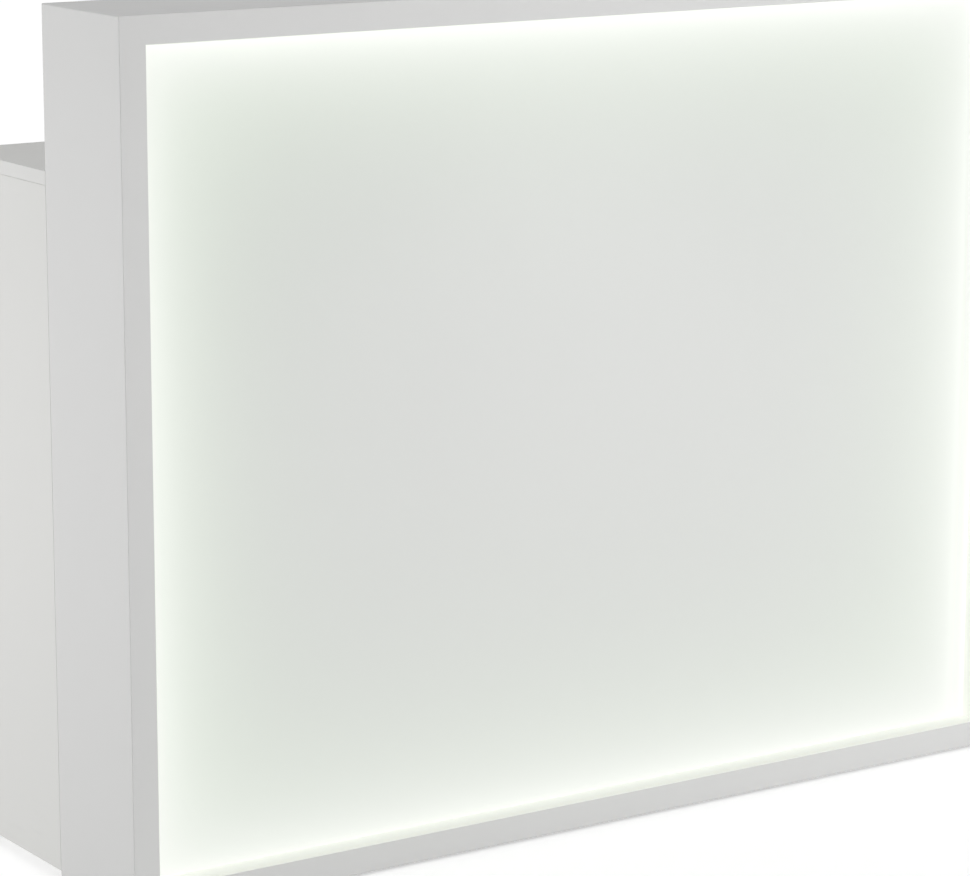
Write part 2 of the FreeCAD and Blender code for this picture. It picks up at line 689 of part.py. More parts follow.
def rear_panels():
    """The lower panel, pierced for the lead and the batten and driver screws, and the access panel."""
    lower_height = f"(worktop_height - {PANEL_BOTTOM})"
    access_height = f"(overall_height - board_thickness + rebate_width - rebate_play - {ACCESS_BOTTOM})"
    lower = rear_panel("lower_rear_panel", PANEL_BOTTOM, lower_height, LOWER_SCREWS)
    bush_spot = [(f"({LEAD_X} + {HALF_PANEL})", f"({LEAD_Z} - {PANEL_BOTTOM})")]
    drill(lower, "XZ_Plane", "rear_panel_thickness", bush_spot,
          "(bush_diameter + 2 * fit_play)", "rear_panel_thickness", -1)
    small = [(f"({x} + {HALF_PANEL})", f"({z} - {PANEL_BOTTOM})") for x, z in BATTEN_SPOTS]
    drill(lower, "XZ_Plane", "rear_panel_thickness", small, "(screw_diameter + 2 * fit_play)",
          "(batten_screw_length - batten_depth + fit_play)", -1)
    small = [(f"({x} + {HALF_PANEL})", f"({z} - {PANEL_BOTTOM})") for x, z in DRIVER_SPOTS]
    drill(lower, "XZ_Plane", "rear_panel_thickness", small, "(screw_diameter + 2 * fit_play)",
          "(short_screw_length - driver_foot_thickness + fit_play)", -1)
    access = rear_panel("access_panel", ACCESS_BOTTOM, access_height, ACCESS_SCREWS)
    return [lower, access]


def corner_brackets():
    """Four steel angles in the mitres' inner corners, behind the reflector."""
    body = new_body("corner_brackets")
    level = f"({FRONT} + {REFLECTOR_FACE} + reflector_thickness + groove_play + edge_play)"
    angles = sketch(body, "XZ_Plane", level)
    half = "(overall_width / 2 - board_thickness)"
    corners = [("0", "0"), ("bracket_leg", "0"), ("bracket_leg", "bracket_sheet"),
               ("bracket_sheet", "bracket_sheet"), ("bracket_sheet", "bracket_leg"), ("0", "bracket_leg")]
    for sign in ("-", ""):
        inward = "+" if sign == "-" else "-"
        for floor, rise in ((INNER_TOP, "-"), (INNER_BOTTOM, "+")):
            outline(angles, [(f"({sign}{half} {inward} {x})", f"({floor} {rise} {z})") for x, z in corners])
    pad(body, angles, "bracket_width")
    return body


def worktop():
    """The worktop with its two rebated cable holes and its joint holes underneath, and its edging."""
    corner_x = f"({LEFT} + edging_thickness)"
    body = new_body("worktop", (corner_x, FRAME_REAR, UNDER_TOP))
    board = sketch(body, "XY_Plane")
    rectangle(board, ("0", "0"), ("(overall_width - 2 * edging_thickness)", GABLE_DEPTH))
    outlets = [(f"({x} - {corner_x})", "grommet_setback") for x in GROMMET_X.values()]
    for outlet in outlets:
        circle(board, outlet, "grommet_hole")
    pad(body, board, "worktop_thickness")
    drill(body, "XY_Plane", "worktop_thickness", outlets,
          "(grommet_hole + 2 * grommet_overhang + 2 * grommet_play)", "grommet_flange", -1)
    spots = {"bolt": BOLT_DEPTHS, "peg": PEG_DEPTHS}
    places = {kind: [(f"({GABLE_MIDDLE[side]} - {corner_x})", f"({depth} - {FRAME_REAR})")
                     for side in GABLE_MIDDLE for depth in depths] for kind, depths in spots.items()}
    drill(body, "XY_Plane", "0", places["bolt"], "(bolt_diameter + 2 * fit_play)", "bolt_bite", 1)
    drill(body, "XY_Plane", "0", places["peg"], "(dowel_diameter + 2 * fit_play)", "dowel_in_worktop", 1)
    screw_places = [(f"({x} - {corner_x})", f"({y} - {FRAME_REAR})") for x, y in TRAY_SPOTS]
    drill(body, "XY_Plane", "0", screw_places, "(screw_diameter + 2 * fit_play)",
          "(short_screw_length - tray_sheet + fit_play)", 1)

    band = new_body("worktop_edging", (LEFT, FRAME_REAR, UNDER_TOP))
    strip = sketch(band, "XY_Plane")
    inner = "(overall_width - edging_thickness)"
    outline(strip, [("0", "0"), ("edging_thickness", "0"), ("edging_thickness", GABLE_DEPTH),
                    (inner, GABLE_DEPTH), (inner, "0"), ("overall_width", "0"),
                    ("overall_width", "worktop_depth"), ("0", "worktop_depth")])
    pad(band, strip, "worktop_thickness")
    round_arrises(band, ("XMin", "XMax", "YMax", "ZMin", "ZMax"), "edging_round")
    return [body, band]


def batten():
    """The wooden batten on the rear panel that carries the worktop's front edge."""
    corner = (f"(-{BATTEN_LENGTH} / 2)", FRAME_REAR, f"({UNDER_TOP} - batten_height)")
    body = new_body("worktop_batten", corner)
    section = sketch(body, "YZ_Plane")
    rectangle(section, ("0", "0"), ("batten_depth", "batten_height"))
    pad(body, section, BATTEN_LENGTH)
    places = [(f"({x} + {BATTEN_LENGTH} / 2)", "(batten_height / 2)") for x, _ in BATTEN_SPOTS]
    drill(body, "XZ_Plane", "batten_depth", places, "(head_diameter + 2 * fit_play)", "head_height", -1)
    drill(body, "XZ_Plane", "batten_depth", places, "(screw_diameter + 2 * fit_play)", "batten_depth", -1)
    return body


def apron():
    """The rail between the gables that stiffens the worktop's rear half."""
    length = "(overall_width - 2 * gable_thickness)"
    body = new_body("apron_rail", (GABLE_INNER["left"], APRON_FACE, f"({UNDER_TOP} - apron_height)"))
    section = sketch(body, "YZ_Plane")
    rectangle(section, ("0", "0"), ("apron_thickness", "apron_height"))
    pad(body, section, length)
    middle = "(apron_height / 2)"
    cams = [("cam_distance", middle), (f"({length} - cam_distance)", middle)]
    drill(body, "XZ_Plane", "0", cams, "(cam_diameter + 2 * fit_play)", "(cam_depth + fit_play)", 1)
    spot = [("(apron_thickness / 2)", middle)]
    drill(body, "YZ_Plane", "0", spot, "(bolt_diameter + 2 * fit_play)", "cam_distance", 1)
    drill(body, "YZ_Plane", length, spot, "(bolt_diameter + 2 * fit_play)", "cam_distance", -1)
    return body


def cable_tray():
    """A folded sheet: flange under the worktop, front wall, floor and a low rear lip."""
    body = new_body("cable_tray", ("(-tray_length / 2)", TRAY_FRONT, f"({UNDER_TOP} - tray_height)"))
    section = sketch(body, "YZ_Plane")
    outline(section, [
        ("0", "0"), ("tray_depth", "0"), ("tray_depth", "tray_lip"),
        ("(tray_depth - tray_sheet)", "tray_lip"), ("(tray_depth - tray_sheet)", "tray_sheet"),
        ("tray_sheet", "tray_sheet"), ("tray_sheet", "(tray_height - tray_sheet)"),
        ("tray_flange", "(tray_height - tray_sheet)"), ("tray_flange", "tray_height"), ("0", "tray_height"),
    ])
    pad(body, section, "tray_length")
    inner = [("tray_sheet", "tray_sheet"), ("(tray_depth - tray_sheet)", "tray_sheet"),
             ("tray_sheet", "(tray_height - tray_sheet)")]
    round_bends(body, inner, "tray_bend")
    outer = [("0", "0"), ("tray_depth", "0"), ("0", "tray_height")]
    round_bends(body, outer, "(tray_bend + tray_sheet)")
    places = [(f"({x} + tray_length / 2)", f"({y} - {TRAY_FRONT})") for x, y in TRAY_SPOTS]
    drill(body, "XY_Plane", "tray_height", places, "(screw_diameter + 2 * fit_play)", "tray_sheet", -1)
    return body


def grommet(side):
    """A cable outlet: a sleeve with a flange and an inner seat, and a notched cap that turns on it."""
    base = (GROMMET_X[side], f"({FRAME_REAR} + grommet_setback)", "(worktop_height - grommet_flange)")
    sleeve = "(grommet_hole / 2 - grommet_play)"
    bore = f"({sleeve} - grommet_wall)"
    rim = "(grommet_hole / 2 + grommet_overhang)"
    bevel = "(grommet_flange / 2)"
    seat = "(grommet_flange - cap_thickness)"
    ring = new_body(f"{side}_grommet_ring", base)
    revolve(ring, [
        (bore, "grommet_flange"), (f"({rim} - {bevel})", "grommet_flange"),
        (rim, f"(grommet_flange - {bevel})"),
        (rim, "0"), (sleeve, "0"), (sleeve, "-grommet_length"), (bore, "-grommet_length"),
        (bore, f"({seat} - grommet_seat_thickness)"),
        (f"({bore} - grommet_seat)", f"({seat} - grommet_seat_thickness)"),
        (f"({bore} - grommet_seat)", seat), (bore, seat),
    ])
    cap = new_body(f"{side}_grommet_cap", base)
    edge = f"({bore} - cap_play)"
    disc = sketch(cap, "XY_Plane", seat)
    circle(disc, ("0", "0"), f"(2 * {edge})")
    pad(cap, disc, "cap_thickness")
    notch = sketch(cap, "XY_Plane")
    rectangle(notch, ("(-notch_width / 2)", f"(-{rim})"), ("(notch_width / 2)", f"(notch_depth - {bore})"))
    cut_through(cap, notch)
    return [ring, cap]


def driver():
    """The lights' driver: a finned extrusion with screw flanges, and a moulded end at each side."""
    middle = new_body("driver_body", (f"({DRIVER_LEFT} + end_length)", FRAME_REAR, DRIVER_BOTTOM))
    root = "(driver_depth - fin_depth)"
    step = f"((driver_height - 2 * fin_margin - fin_width) / {FIN_COUNT - 1})"
    corners = [("0", "-driver_foot"), ("driver_foot_thickness", "-driver_foot"),
               ("driver_foot_thickness", "0"), (root, "0")]
    for index in range(FIN_COUNT):
        low = f"(fin_margin + {index} * {step})"
        corners += [(root, low), ("driver_depth", low),
                    ("driver_depth", f"({low} + fin_width)"), (root, f"({low} + fin_width)")]
    corners += [(root, "driver_height"), ("driver_foot_thickness", "driver_height"),
                ("driver_foot_thickness", "(driver_height + driver_foot)"),
                ("0", "(driver_height + driver_foot)")]
    section = sketch(middle, "YZ_Plane")
    outline(section, corners)
    pad(middle, section, "driver_length")
    places = [(f"({x} - {DRIVER_LEFT} - end_length)", f"({z} - {DRIVER_BOTTOM})") for x, z in DRIVER_SPOTS]
    drill(middle, "XZ_Plane", "driver_foot_thickness", places,
          "(screw_diameter + 2 * fit_play)", "driver_foot_thickness", -1)
    return [middle, inlet_end(), output_end()]


def end_block(label, corner_x, outer_side):
    """A moulded end of the driver: a block rounded on its outer face."""
    body = new_body(label, (corner_x, FRAME_REAR, DRIVER_BOTTOM))
    block = sketch(body, "YZ_Plane")
    rectangle(block, ("0", "0"), ("driver_depth", "driver_height"))
    pad(body, block, "end_length")
    round_arrises(body, (outer_side, "YMax", "ZMin", "ZMax"), "end_round")
    return body


def output_end():
    """The end that the lead leaves by."""
    body = end_block("driver_output_end", f"({DRIVER_RIGHT} - end_length)", "XMax")
    drill(body, "YZ_Plane", "end_length", [(LEAD_OFFSET, "(driver_height / 2)")],
          "(lead_diameter + 2 * fit_play)", "lead_grip", -1)
    return body


def inlet_end():
    """The end with the mains inlet below and the rocker switch above."""
    body = end_block("driver_inlet_end", DRIVER_LEFT, "XMin")
    middle = "(driver_depth / 2)"
    half = "inlet_width / 2"
    low = "(inlet_height - inlet_rise / 2)"
    high = "(inlet_height + inlet_rise / 2)"
    mouth = sketch(body, "YZ_Plane")
    outline(mouth, [
        (f"({middle} - {half})", low), (f"({middle} + {half})", low),
        (f"({middle} + {half})", f"({high} - inlet_bevel)"), (f"({middle} + {half} - inlet_bevel)", high),
        (f"({middle} - {half} + inlet_bevel)", high), (f"({middle} - {half})", f"({high} - inlet_bevel)"),
    ])
    pocket(body, mouth, "inlet_depth", 1)
    window = sketch(body, "YZ_Plane")
    reach = "(rocker_length / 2 + rocker_play)"
    rise = "(rocker_width / 2 + rocker_side_play)"
    rectangle(window, (f"({middle} - {reach})", f"(rocker_height - {rise})"),
              (f"({middle} + {reach})", f"(rocker_height + {rise})"))
    pocket(body, window, "rocker_depth", 1)
    bearing = sketch(body, "XY_Plane", f"(rocker_height - {rise} - pivot_reach)")
    circle(bearing, ("pivot_depth", middle), "(pivot_diameter + 2 * pivot_play)")
    pocket(body, bearing, f"(2 * {rise} + 2 * pivot_reach)", 1)
    return body


def inlet_pins():
    """The three blades of the mains inlet, standing on the recess's floor."""
    body = new_body("inlet_pins", (f"({DRIVER_LEFT} + inlet_depth)", DRIVER_MIDDLE_Y,
                                   f"({DRIVER_BOTTOM} + inlet_height)"))
    blades = sketch(body, "YZ_Plane")
    for across, up in (("-blade_spacing", "-earth_offset / 2"), ("blade_spacing", "-earth_offset / 2"),
                       ("0", "earth_offset / 2")):
        rectangle(blades, (f"({across} - blade_thin / 2)", f"({up} - blade_wide / 2)"),
                  (f"({across} + blade_thin / 2)", f"({up} + blade_wide / 2)"))
    pad(body, blades, "blade_length", -1)
    return body


def rocker():
    """The switch's rocker, dished in the middle, with pivot stubs, tilted to one side."""
    body = new_body("rocker_switch", (f"({DRIVER_LEFT} + pivot_depth)", DRIVER_MIDDLE_Y,
                                      f"({DRIVER_BOTTOM} + rocker_height)"), (0, 0, 1))
    tie(body, "Placement.Rotation.Angle", "rocker_tilt")
    half = "(rocker_length / 2)"
    back = f"({half} - rocker_back_taper)"
    face = sketch(body, "XY_Plane", "(-rocker_width / 2)")
    outline(face, [
        ("-rocker_front", f"-{half}"), ("(rocker_dip - rocker_front)", "0"), ("-rocker_front", half),
        ("rocker_back", back), ("rocker_back", f"-{back}"),
    ])
    pad(body, face, "rocker_width")
    reach = "(rocker_width + 2 * rocker_side_play + 2 * pivot_reach - 2 * pivot_play)"
    rods(body, "XY_Plane", f"(-{reach} / 2)", [("0", "0")], "pivot_diameter", reach, 1)
    return body


def lead_run(name, base, axis, turn, length):
    """A straight stretch of the lead."""
    run = doc.addObject("Part::Cylinder", name)
    run.Placement = FreeCAD.Placement(FreeCAD.Vector(), FreeCAD.Rotation(FreeCAD.Vector(*axis), turn))
    tie(run, "Radius", "(lead_diameter / 2)")
    tie(run, "Height", length)
    for letter, formula in zip("xyz", base):
        tie(run, f"Placement.Base.{letter}", formula)
    return run


def lead_curve(name, middle, turn):
    """A quarter bend of the lead, lying flat."""
    bend = doc.addObject("Part::Torus", name)
    bend.Placement = FreeCAD.Placement(FreeCAD.Vector(), FreeCAD.Rotation(FreeCAD.Vector(0, 0, 1), turn))
    bend.Angle3 = 90
    tie(bend, "Radius1", "lead_bend")
    tie(bend, "Radius2", "(lead_diameter / 2)")
    for letter, formula in zip("xyz", middle):
        tie(bend, f"Placement.Base.{letter}", formula)
    return bend


def led_lead():
    """The lead: three straight stretches and two quarter bends, in one level plane."""
    start = f"({DRIVER_RIGHT} - lead_grip)"
    straight = f"({LEAD_Y} - lead_bend - ({LEAD_END_Y} + lead_bend))"
    pieces = [
        lead_run("lead_out", (start, LEAD_Y, LEAD_Z), (0, 1, 0), 90, "(lead_grip + lead_tail)"),
        lead_curve("lead_turn", (f"({LEAD_X} - lead_bend)", f"({LEAD_Y} - lead_bend)", LEAD_Z), 0),
        lead_run("lead_through", (LEAD_X, f"({LEAD_Y} - lead_bend)", LEAD_Z), (1, 0, 0), 90, straight),
        lead_curve("lead_to_tape", (f"({LEAD_X} + lead_bend)", f"({LEAD_END_Y} + lead_bend)", LEAD_Z), 180),
    ]
    lead = doc.addObject("Part::MultiFuse", "led_lead")
    lead.Label = "led_lead"
    lead.Shapes = pieces
    return lead


def lead_bush():
    """The soft bush that lines the lead's hole in the rear panel."""
    body = new_body("lead_bush", (LEAD_X, FRAME_REAR, LEAD_Z), (1, 0, 0), -90)
    hole = "(lead_diameter / 2 + lead_play)"
    revolve(body, [
        (hole, "-rear_panel_thickness"), ("(bush_diameter / 2)", "-rear_panel_thickness"),
        ("(bush_diameter / 2)", "0"), ("(bush_flange / 2)", "0"),
        ("(bush_flange / 2)", "bush_flange_thickness"), (hole, "bush_flange_thickness"),
    ])
    return body


def foot(label, x, y, height, diameter):
    """A levelling foot, screwed right in: a moulded pad and the threaded stud set in it."""
    pad_body = new_body(f"{label}_foot", (x, y, "0"))
    rim = f"({diameter} / 2)"
    grip = "(stud_diameter / 2 + fit_play)"
    revolve(pad_body, [
        ("0", "0"), (f"({rim} - pad_chamfer)", "0"), (rim, "pad_chamfer"),
        (rim, f"({height} - pad_chamfer)"),
        (f"({rim} - pad_chamfer)", height), (grip, height), (grip, f"({height} - stud_grip)"),
        ("0", f"({height} - stud_grip)"),
    ])
    stud = new_body(f"{label}_stud", (x, y, f"({height} - stud_grip)"))
    reach = "(stud_grip + stud_reach)"
    rods(stud, "XY_Plane", "0", [("0", "0")], "stud_diameter", reach, 1)
    key = sketch(stud, "XY_Plane", reach)
    turns = [2 * math.pi * index / KEY_SIDE_COUNT for index in range(KEY_SIDE_COUNT)]
    wide = "(key_width / sqrt(3))"
    outline(key, [(f"({wide} * {math.cos(turn):.6f})", f"({wide} * {math.sin(turn):.6f})")
                  for turn in turns])
    pocket(stud, key, "key_depth", -1)
    return [pad_body, stud]


def feet():
    """Six feet, and the threaded inserts that they screw into."""
    pieces = []
    inserts = new_body("foot_inserts")
    for row_name, (places_x, y, height, diameter) in FOOT_PLACES.items():
        for side in ("left", "right"):
            pieces += foot(f"{row_name}_{side}", places_x[side], y, height, diameter)
        sleeves = sketch(inserts, "XY_Plane", height)
        for side in ("left", "right"):
            circle(sleeves, (places_x[side], y), "insert_diameter")
            circle(sleeves, (places_x[side], y), "(stud_diameter + 2 * stud_play)")
        pad(inserts, sleeves, "insert_length")
    return pieces + [inserts]


def knock_down_fittings():
    """Cams in the gables and the apron, their bolts, and the dowels beside them."""
    cams = new_body("cam_discs")
    bolts = new_body("cam_bolts")
    pegs = new_body("dowels")
    reach = "(bolt_bite + cam_distance - cam_diameter / 2 - cam_play)"
    for side, inwards in INWARDS.items():
        spots = [(CAM_LINE_Y, z) for z in BOLT_HEIGHTS] + [(y, CAM_LINE_Z) for y in BOLT_DEPTHS]
        rods(cams, "YZ_Plane", GABLE_INNER[side], spots, "cam_diameter", "cam_depth", -inwards)
        middle = GABLE_MIDDLE[side]
        to_frame = [(middle, z) for z in BOLT_HEIGHTS]
        rods(bolts, "XZ_Plane", f"({FRAME_REAR} - bolt_bite)", to_frame, "bolt_diameter", reach, 1)
        to_top = [(middle, y) for y in BOLT_DEPTHS]
        rods(bolts, "XY_Plane", f"({UNDER_TOP} + bolt_bite)", to_top, "bolt_diameter", reach, -1)
        rods(pegs, "XZ_Plane", f"({FRAME_REAR} - dowel_depth)", [(middle, z) for z in PEG_HEIGHTS],
             "dowel_diameter", "(2 * dowel_depth)", 1)
        rods(pegs, "XY_Plane", f"({UNDER_TOP} - dowel_depth)", [(middle, y) for y in PEG_DEPTHS],
             "dowel_diameter", "(dowel_depth + dowel_in_worktop)", 1)
        ahead, behind = ("+", "-") if inwards > 0 else ("-", "+")
        cam_x = f"({GABLE_INNER[side]} {ahead} cam_distance)"
        rods(cams, "XZ_Plane", APRON_FACE, [(cam_x, APRON_MIDDLE_Z)], "cam_diameter", "cam_depth", 1)
        start = f"({GABLE_INNER[side]} {behind} bolt_bite)"
        rods(bolts, "YZ_Plane", start, [(APRON_MIDDLE_Y, APRON_MIDDLE_Z)], "bolt_diameter", reach, inwards)
    return [cams, bolts, pegs]


def screws(label, role, level, spots, length, sign):
    """Screws whose heads end at one level and whose shanks run on from it."""
    body = new_body(label)
    rods(body, role, level, spots, "head_diameter", "head_height", sign)
    rods(body, role, level, spots, "screw_diameter", length, sign)
    return body


def wood_screws():
    """The screws of the rear panels, the batten, the tray and the driver."""
    return [
        screws("panel_screws", "XZ_Plane", FRAME_REAR, ACCESS_SCREWS + LOWER_SCREWS, "screw_length", -1),
        screws("batten_screws", "XZ_Plane", f"({FRAME_REAR} + batten_depth)", BATTEN_SPOTS,
               "batten_screw_length", -1),
        screws("tray_screws", "XY_Plane", f"({UNDER_TOP} - tray_sheet - head_height)", TRAY_SPOTS,
               "(short_screw_length + head_height)", 1),
        screws("driver_screws", "XZ_Plane", f"({FRAME_REAR} + driver_foot_thickness + head_height)",
               DRIVER_SPOTS, "(short_screw_length + head_height)", -1),
    ]


def build():
    """Every piece of the desk, in the order in which it is put together."""
    pieces = front_frame()
    pieces += [diffuser(), reflector(), corner_brackets()]
    pieces += rear_panels()
    for side in SIDE_FRAMES:
        pieces += [led_channel(side), led_tape(side)]
    pieces += worktop()
    pieces += gable("left") + gable("right")
    pieces += [batten(), apron(), cable_tray()]
    pieces += grommet("left") + grommet("right")
    pieces += driver() + [inlet_pins(), rocker(), led_lead(), lead_bush()]
    pieces += feet()
    pieces += knock_down_fittings() + wood_screws()
    doc.recompute()
    return pieces


def check(pieces):
    """Stop if a feature failed, a cut took nothing away or a piece has no sound solid."""
    for item in doc.Objects:
        if "Invalid" in item.State or "Error" in item.State:
            raise RuntimeError(f"{item.Label} did not build: {item.State}")
        if item.isDerivedFrom("PartDesign::Pocket"):
            if item.Shape.Volume > item.BaseFeature.Shape.Volume - LEAST_CUT:
                raise RuntimeError(f"{item.Label} cuts nothing")
    for piece in pieces:
        if piece.Shape.isNull() or not piece.Shape.isValid() or not piece.Shape.Solids:
            raise RuntimeError(f"{piece.Label} has no sound solid")


def write(pieces):
    """One file for each piece, named after it."""
    os.makedirs("parts", exist_ok=True)
    for piece in pieces:
        piece.Shape.exportStep(f"parts/{piece.Label}.step")
    print(len(pieces), "pieces written")


desk = build()
check(desk)
write(desk)
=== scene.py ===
"""Finishes, small fittings and studio of a reception desk with a lit front.

Metres. The desk stands on z = 0 and its front faces -Y. Left and right are as a customer sees them.
"""
import json
import math

import bpy
import numpy as np
from mathutils import Matrix, Vector


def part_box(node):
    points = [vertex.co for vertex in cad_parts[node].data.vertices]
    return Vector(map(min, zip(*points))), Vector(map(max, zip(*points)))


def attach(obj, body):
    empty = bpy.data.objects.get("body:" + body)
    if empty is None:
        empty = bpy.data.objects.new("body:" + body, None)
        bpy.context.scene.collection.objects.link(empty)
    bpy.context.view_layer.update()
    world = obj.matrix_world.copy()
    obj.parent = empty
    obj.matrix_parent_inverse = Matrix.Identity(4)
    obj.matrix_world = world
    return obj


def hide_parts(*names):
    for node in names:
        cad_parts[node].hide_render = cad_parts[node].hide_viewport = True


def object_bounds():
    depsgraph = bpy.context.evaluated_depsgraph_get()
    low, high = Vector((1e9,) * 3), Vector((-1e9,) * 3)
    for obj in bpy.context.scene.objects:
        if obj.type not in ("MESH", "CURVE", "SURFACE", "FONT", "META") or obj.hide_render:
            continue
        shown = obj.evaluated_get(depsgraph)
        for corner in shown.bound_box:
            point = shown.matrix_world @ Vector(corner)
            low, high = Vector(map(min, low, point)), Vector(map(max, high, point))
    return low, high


bl_info = {
    "name": "Lit reception desk",
    "version": (1, 0, 0),
    "blender": (4, 5, 0),
    "location": "View3D > Sidebar > Desk",
    "description": "Finishes and fittings of a reception desk with a lit front",
    "category": "Object",
}

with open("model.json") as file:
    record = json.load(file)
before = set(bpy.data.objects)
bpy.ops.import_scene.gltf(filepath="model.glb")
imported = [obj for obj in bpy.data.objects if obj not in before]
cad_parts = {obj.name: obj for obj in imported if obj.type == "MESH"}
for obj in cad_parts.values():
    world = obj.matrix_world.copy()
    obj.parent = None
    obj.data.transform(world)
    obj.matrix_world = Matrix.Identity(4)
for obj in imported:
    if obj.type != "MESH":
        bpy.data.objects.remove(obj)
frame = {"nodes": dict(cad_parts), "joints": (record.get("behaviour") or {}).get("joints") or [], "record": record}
CAD_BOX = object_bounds()
SLOT_OF = {part["node"]: part["material_slot"] for part in frame["record"]["subparts"]}
FULL_TURN = 2.0 * math.pi
SIDES = ("left", "right")
LEVELS = ("top", "bottom")
EDGES = (*SIDES, *LEVELS)
ROWS = ("front", "middle", "rear")

# Meshes: what counts as a sharp edge, the digits at which points are one, and a number to divide by at least
SHARP_ANGLE = math.radians(30.0)
SAME_DIGITS = 5
TINY = 1e-6
# Cross slot's floor beside its mouth, and a screw's blunt point beside its shank
SLOT_FLOOR_SHARE = 0.75
POINT_SHARE = 0.1
# A printed bar's end rings: how near to a quarter turn they lie, and the least square of their share
BAR_END_TURN = 0.49 * math.pi
LEAST_SHRINK = 0.01

# Stage: half the floor's length, the sensor's width in millimetres, and how far the camera sees
FLOOR_REACH = 40.0
SENSOR_WIDTH = 36.0
SIGHT = 200.0
# Each lamp's place, what it faces, its width and height, and whether metal mirrors it
LAMPS = {
    "left_lamp": ((-2.6, 1.0, 0.6), (-0.7, 0.0, 0.55), (1.6, 1.1), True),
    "front_lamp": ((1.9, -3.0, 0.36), (0.3, -0.2, 0.3), (1.6, 0.6), True),
    "near_lamp": ((-3.2, -3.4, 0.7), (-0.5, -0.2, 0.5), (1.6, 1.2), True),
    "right_lamp": ((3.4, 0.9, 0.5), (0.7, 0.0, 0.5), (1.4, 0.7), False),
    "rear_lamp": ((0.6, 3.4, 0.45), (0.0, 0.0, 0.5), (2.4, 0.7), False),
}
WHITE = (1.0, 1.0, 1.0)


def colour_property(name, description, default):
    """A colour that a user can change."""
    return bpy.props.FloatVectorProperty(
        name=name, description=description, default=default, subtype="COLOR", size=3, min=0.0, max=1.0)


def length_property(name, description, default):
    """A length in metres that a user can change."""
    return bpy.props.FloatProperty(
        name=name, description=description, default=default, unit="LENGTH", min=0.0, precision=5)


def share_property(name, description, default):
    """A share or a strength that a user can change."""
    return bpy.props.FloatProperty(
        name=name, description=description, default=default, subtype="FACTOR", min=0.0, max=2.0)


def angle_property(name, description, degrees):
    """An angle that a user can change."""
    return bpy.props.FloatProperty(
        name=name, description=description, default=math.radians(degrees), subtype="ANGLE")


def power_property(name, description, default):
    """A lamp's power that a user can change."""
    return bpy.props.FloatProperty(
        name=name, description=description, default=default, unit="POWER", min=0.0)


class DeskColours(bpy.types.PropertyGroup):
    """Colours of the desk's finishes"""

    lacquer: colour_property("Lacquer", "Satin lacquer of the front frame", (0.72, 0.72, 0.712))
    laminate: colour_property("Laminate", "Facing of the worktop, gables and rear panels", (0.76, 0.76, 0.74))
    edging: colour_property("Edging", "Edge band of the worktop and gables", (0.75, 0.75, 0.735))
    opal: colour_property("Opal", "Front panel under room light", (0.60, 0.604, 0.596))
    glow: colour_property("Glow", "Light at the front panel's edges", (0.970, 1.0, 0.934))
    # Spill tint: colour of the painted light on the frame beside the panel
    spill_tint: colour_property("Spill tint", "Panel's light on the frame beside it", (0.945, 1.0, 0.845))
    hardboard: colour_property("Hardboard", "Painted reflector behind the lights", (0.80, 0.80, 0.78))
    aluminium: colour_property("Aluminium", "Anodised channels and driver body", (0.72, 0.73, 0.74))
    tape: colour_property("Tape", "Carrier of the light chips", (0.82, 0.82, 0.78))
    zinc: colour_property("Zinc", "Plated screws, bolts, brackets and studs", (0.66, 0.67, 0.69))
    casting: colour_property("Casting", "Cams of the knock-down fittings", (0.52, 0.53, 0.55))
    beech: colour_property("Beech", "Pale wood of the batten and dowels", (0.60, 0.43, 0.27))
    grain: colour_property("Grain", "Dark lines in the beech", (0.42, 0.27, 0.15))
    powder: colour_property("Powder coat", "Cable tray", (0.42, 0.43, 0.44))
    outlet: colour_property("Outlet", "Moulded cable outlets", (0.52, 0.52, 0.51))
    black: colour_property("Black", "Driver ends, switch, bush and feet", (0.022, 0.022, 0.023))
    brass: colour_property("Brass", "Inlet blades and threaded inserts", (0.66, 0.53, 0.26))
    sheath: colour_property("Sheath", "Lead between the driver and the lights", (0.55, 0.55, 0.54))
    mark: colour_property("Marks", "Printed marks of the switch", (0.80, 0.80, 0.78))


class DeskGlow(bpy.types.PropertyGroup):
    """How the front panel's light falls off from each of its edges"""

    left: share_property("Left", "Light at the left edge", 0.323)
    right: share_property("Right", "Light at the right edge", 0.271)
    top: share_property("Top", "Light at the top edge", 0.347)
    bottom: share_property("Bottom", "Light at the bottom edge", 0.217)
    left_reach: length_property("Left reach", "Fall-off length from the left edge", 0.0753)
    right_reach: length_property("Right reach", "Fall-off length from the right edge", 0.0990)
    top_reach: length_property("Top reach", "Fall-off length from the top edge", 0.0880)
    bottom_reach: length_property("Bottom reach", "Fall-off length from the bottom edge", 0.1055)
    all_over: share_property("All over", "Light in the panel's middle", 0.114)
    leftward: share_property("Leftward", "How much that light grows to the left, per metre", 0.052)
    downward: share_property("Downward", "How much that light grows downwards, per metre", 0.091)
    rim: share_property("Rim", "Added light right at the edges", 0.024)
    rim_reach: length_property("Rim reach", "Fall-off length of that added light", 0.0069)
    # Right rim: painted light that fills the right board's shadow from the front lamp
    right_rim: share_property("Right rim", "Added light right at the right edge", 0.396)
    right_rim_reach: length_property("Right rim reach", "Fall-off length of that light", 0.0121)
    red: share_property("Red", "Reach of red beside the lengths above", 0.800)
    green: share_property("Green", "Reach of green beside them", 1.0)
    blue: share_property("Blue", "Reach of blue beside them", 0.744)
    ends: share_property("Ends", "How much of an edge's light is lost in the corners", 0.588)
    # Spill and its reach: painted light in the frame lacquer's emission, beside the panel
    spill: share_property("Spill", "Light on the frame right beside the panel", 0.378)
    spill_reach: length_property("Spill reach", "Fall-off length of that light", 0.090)


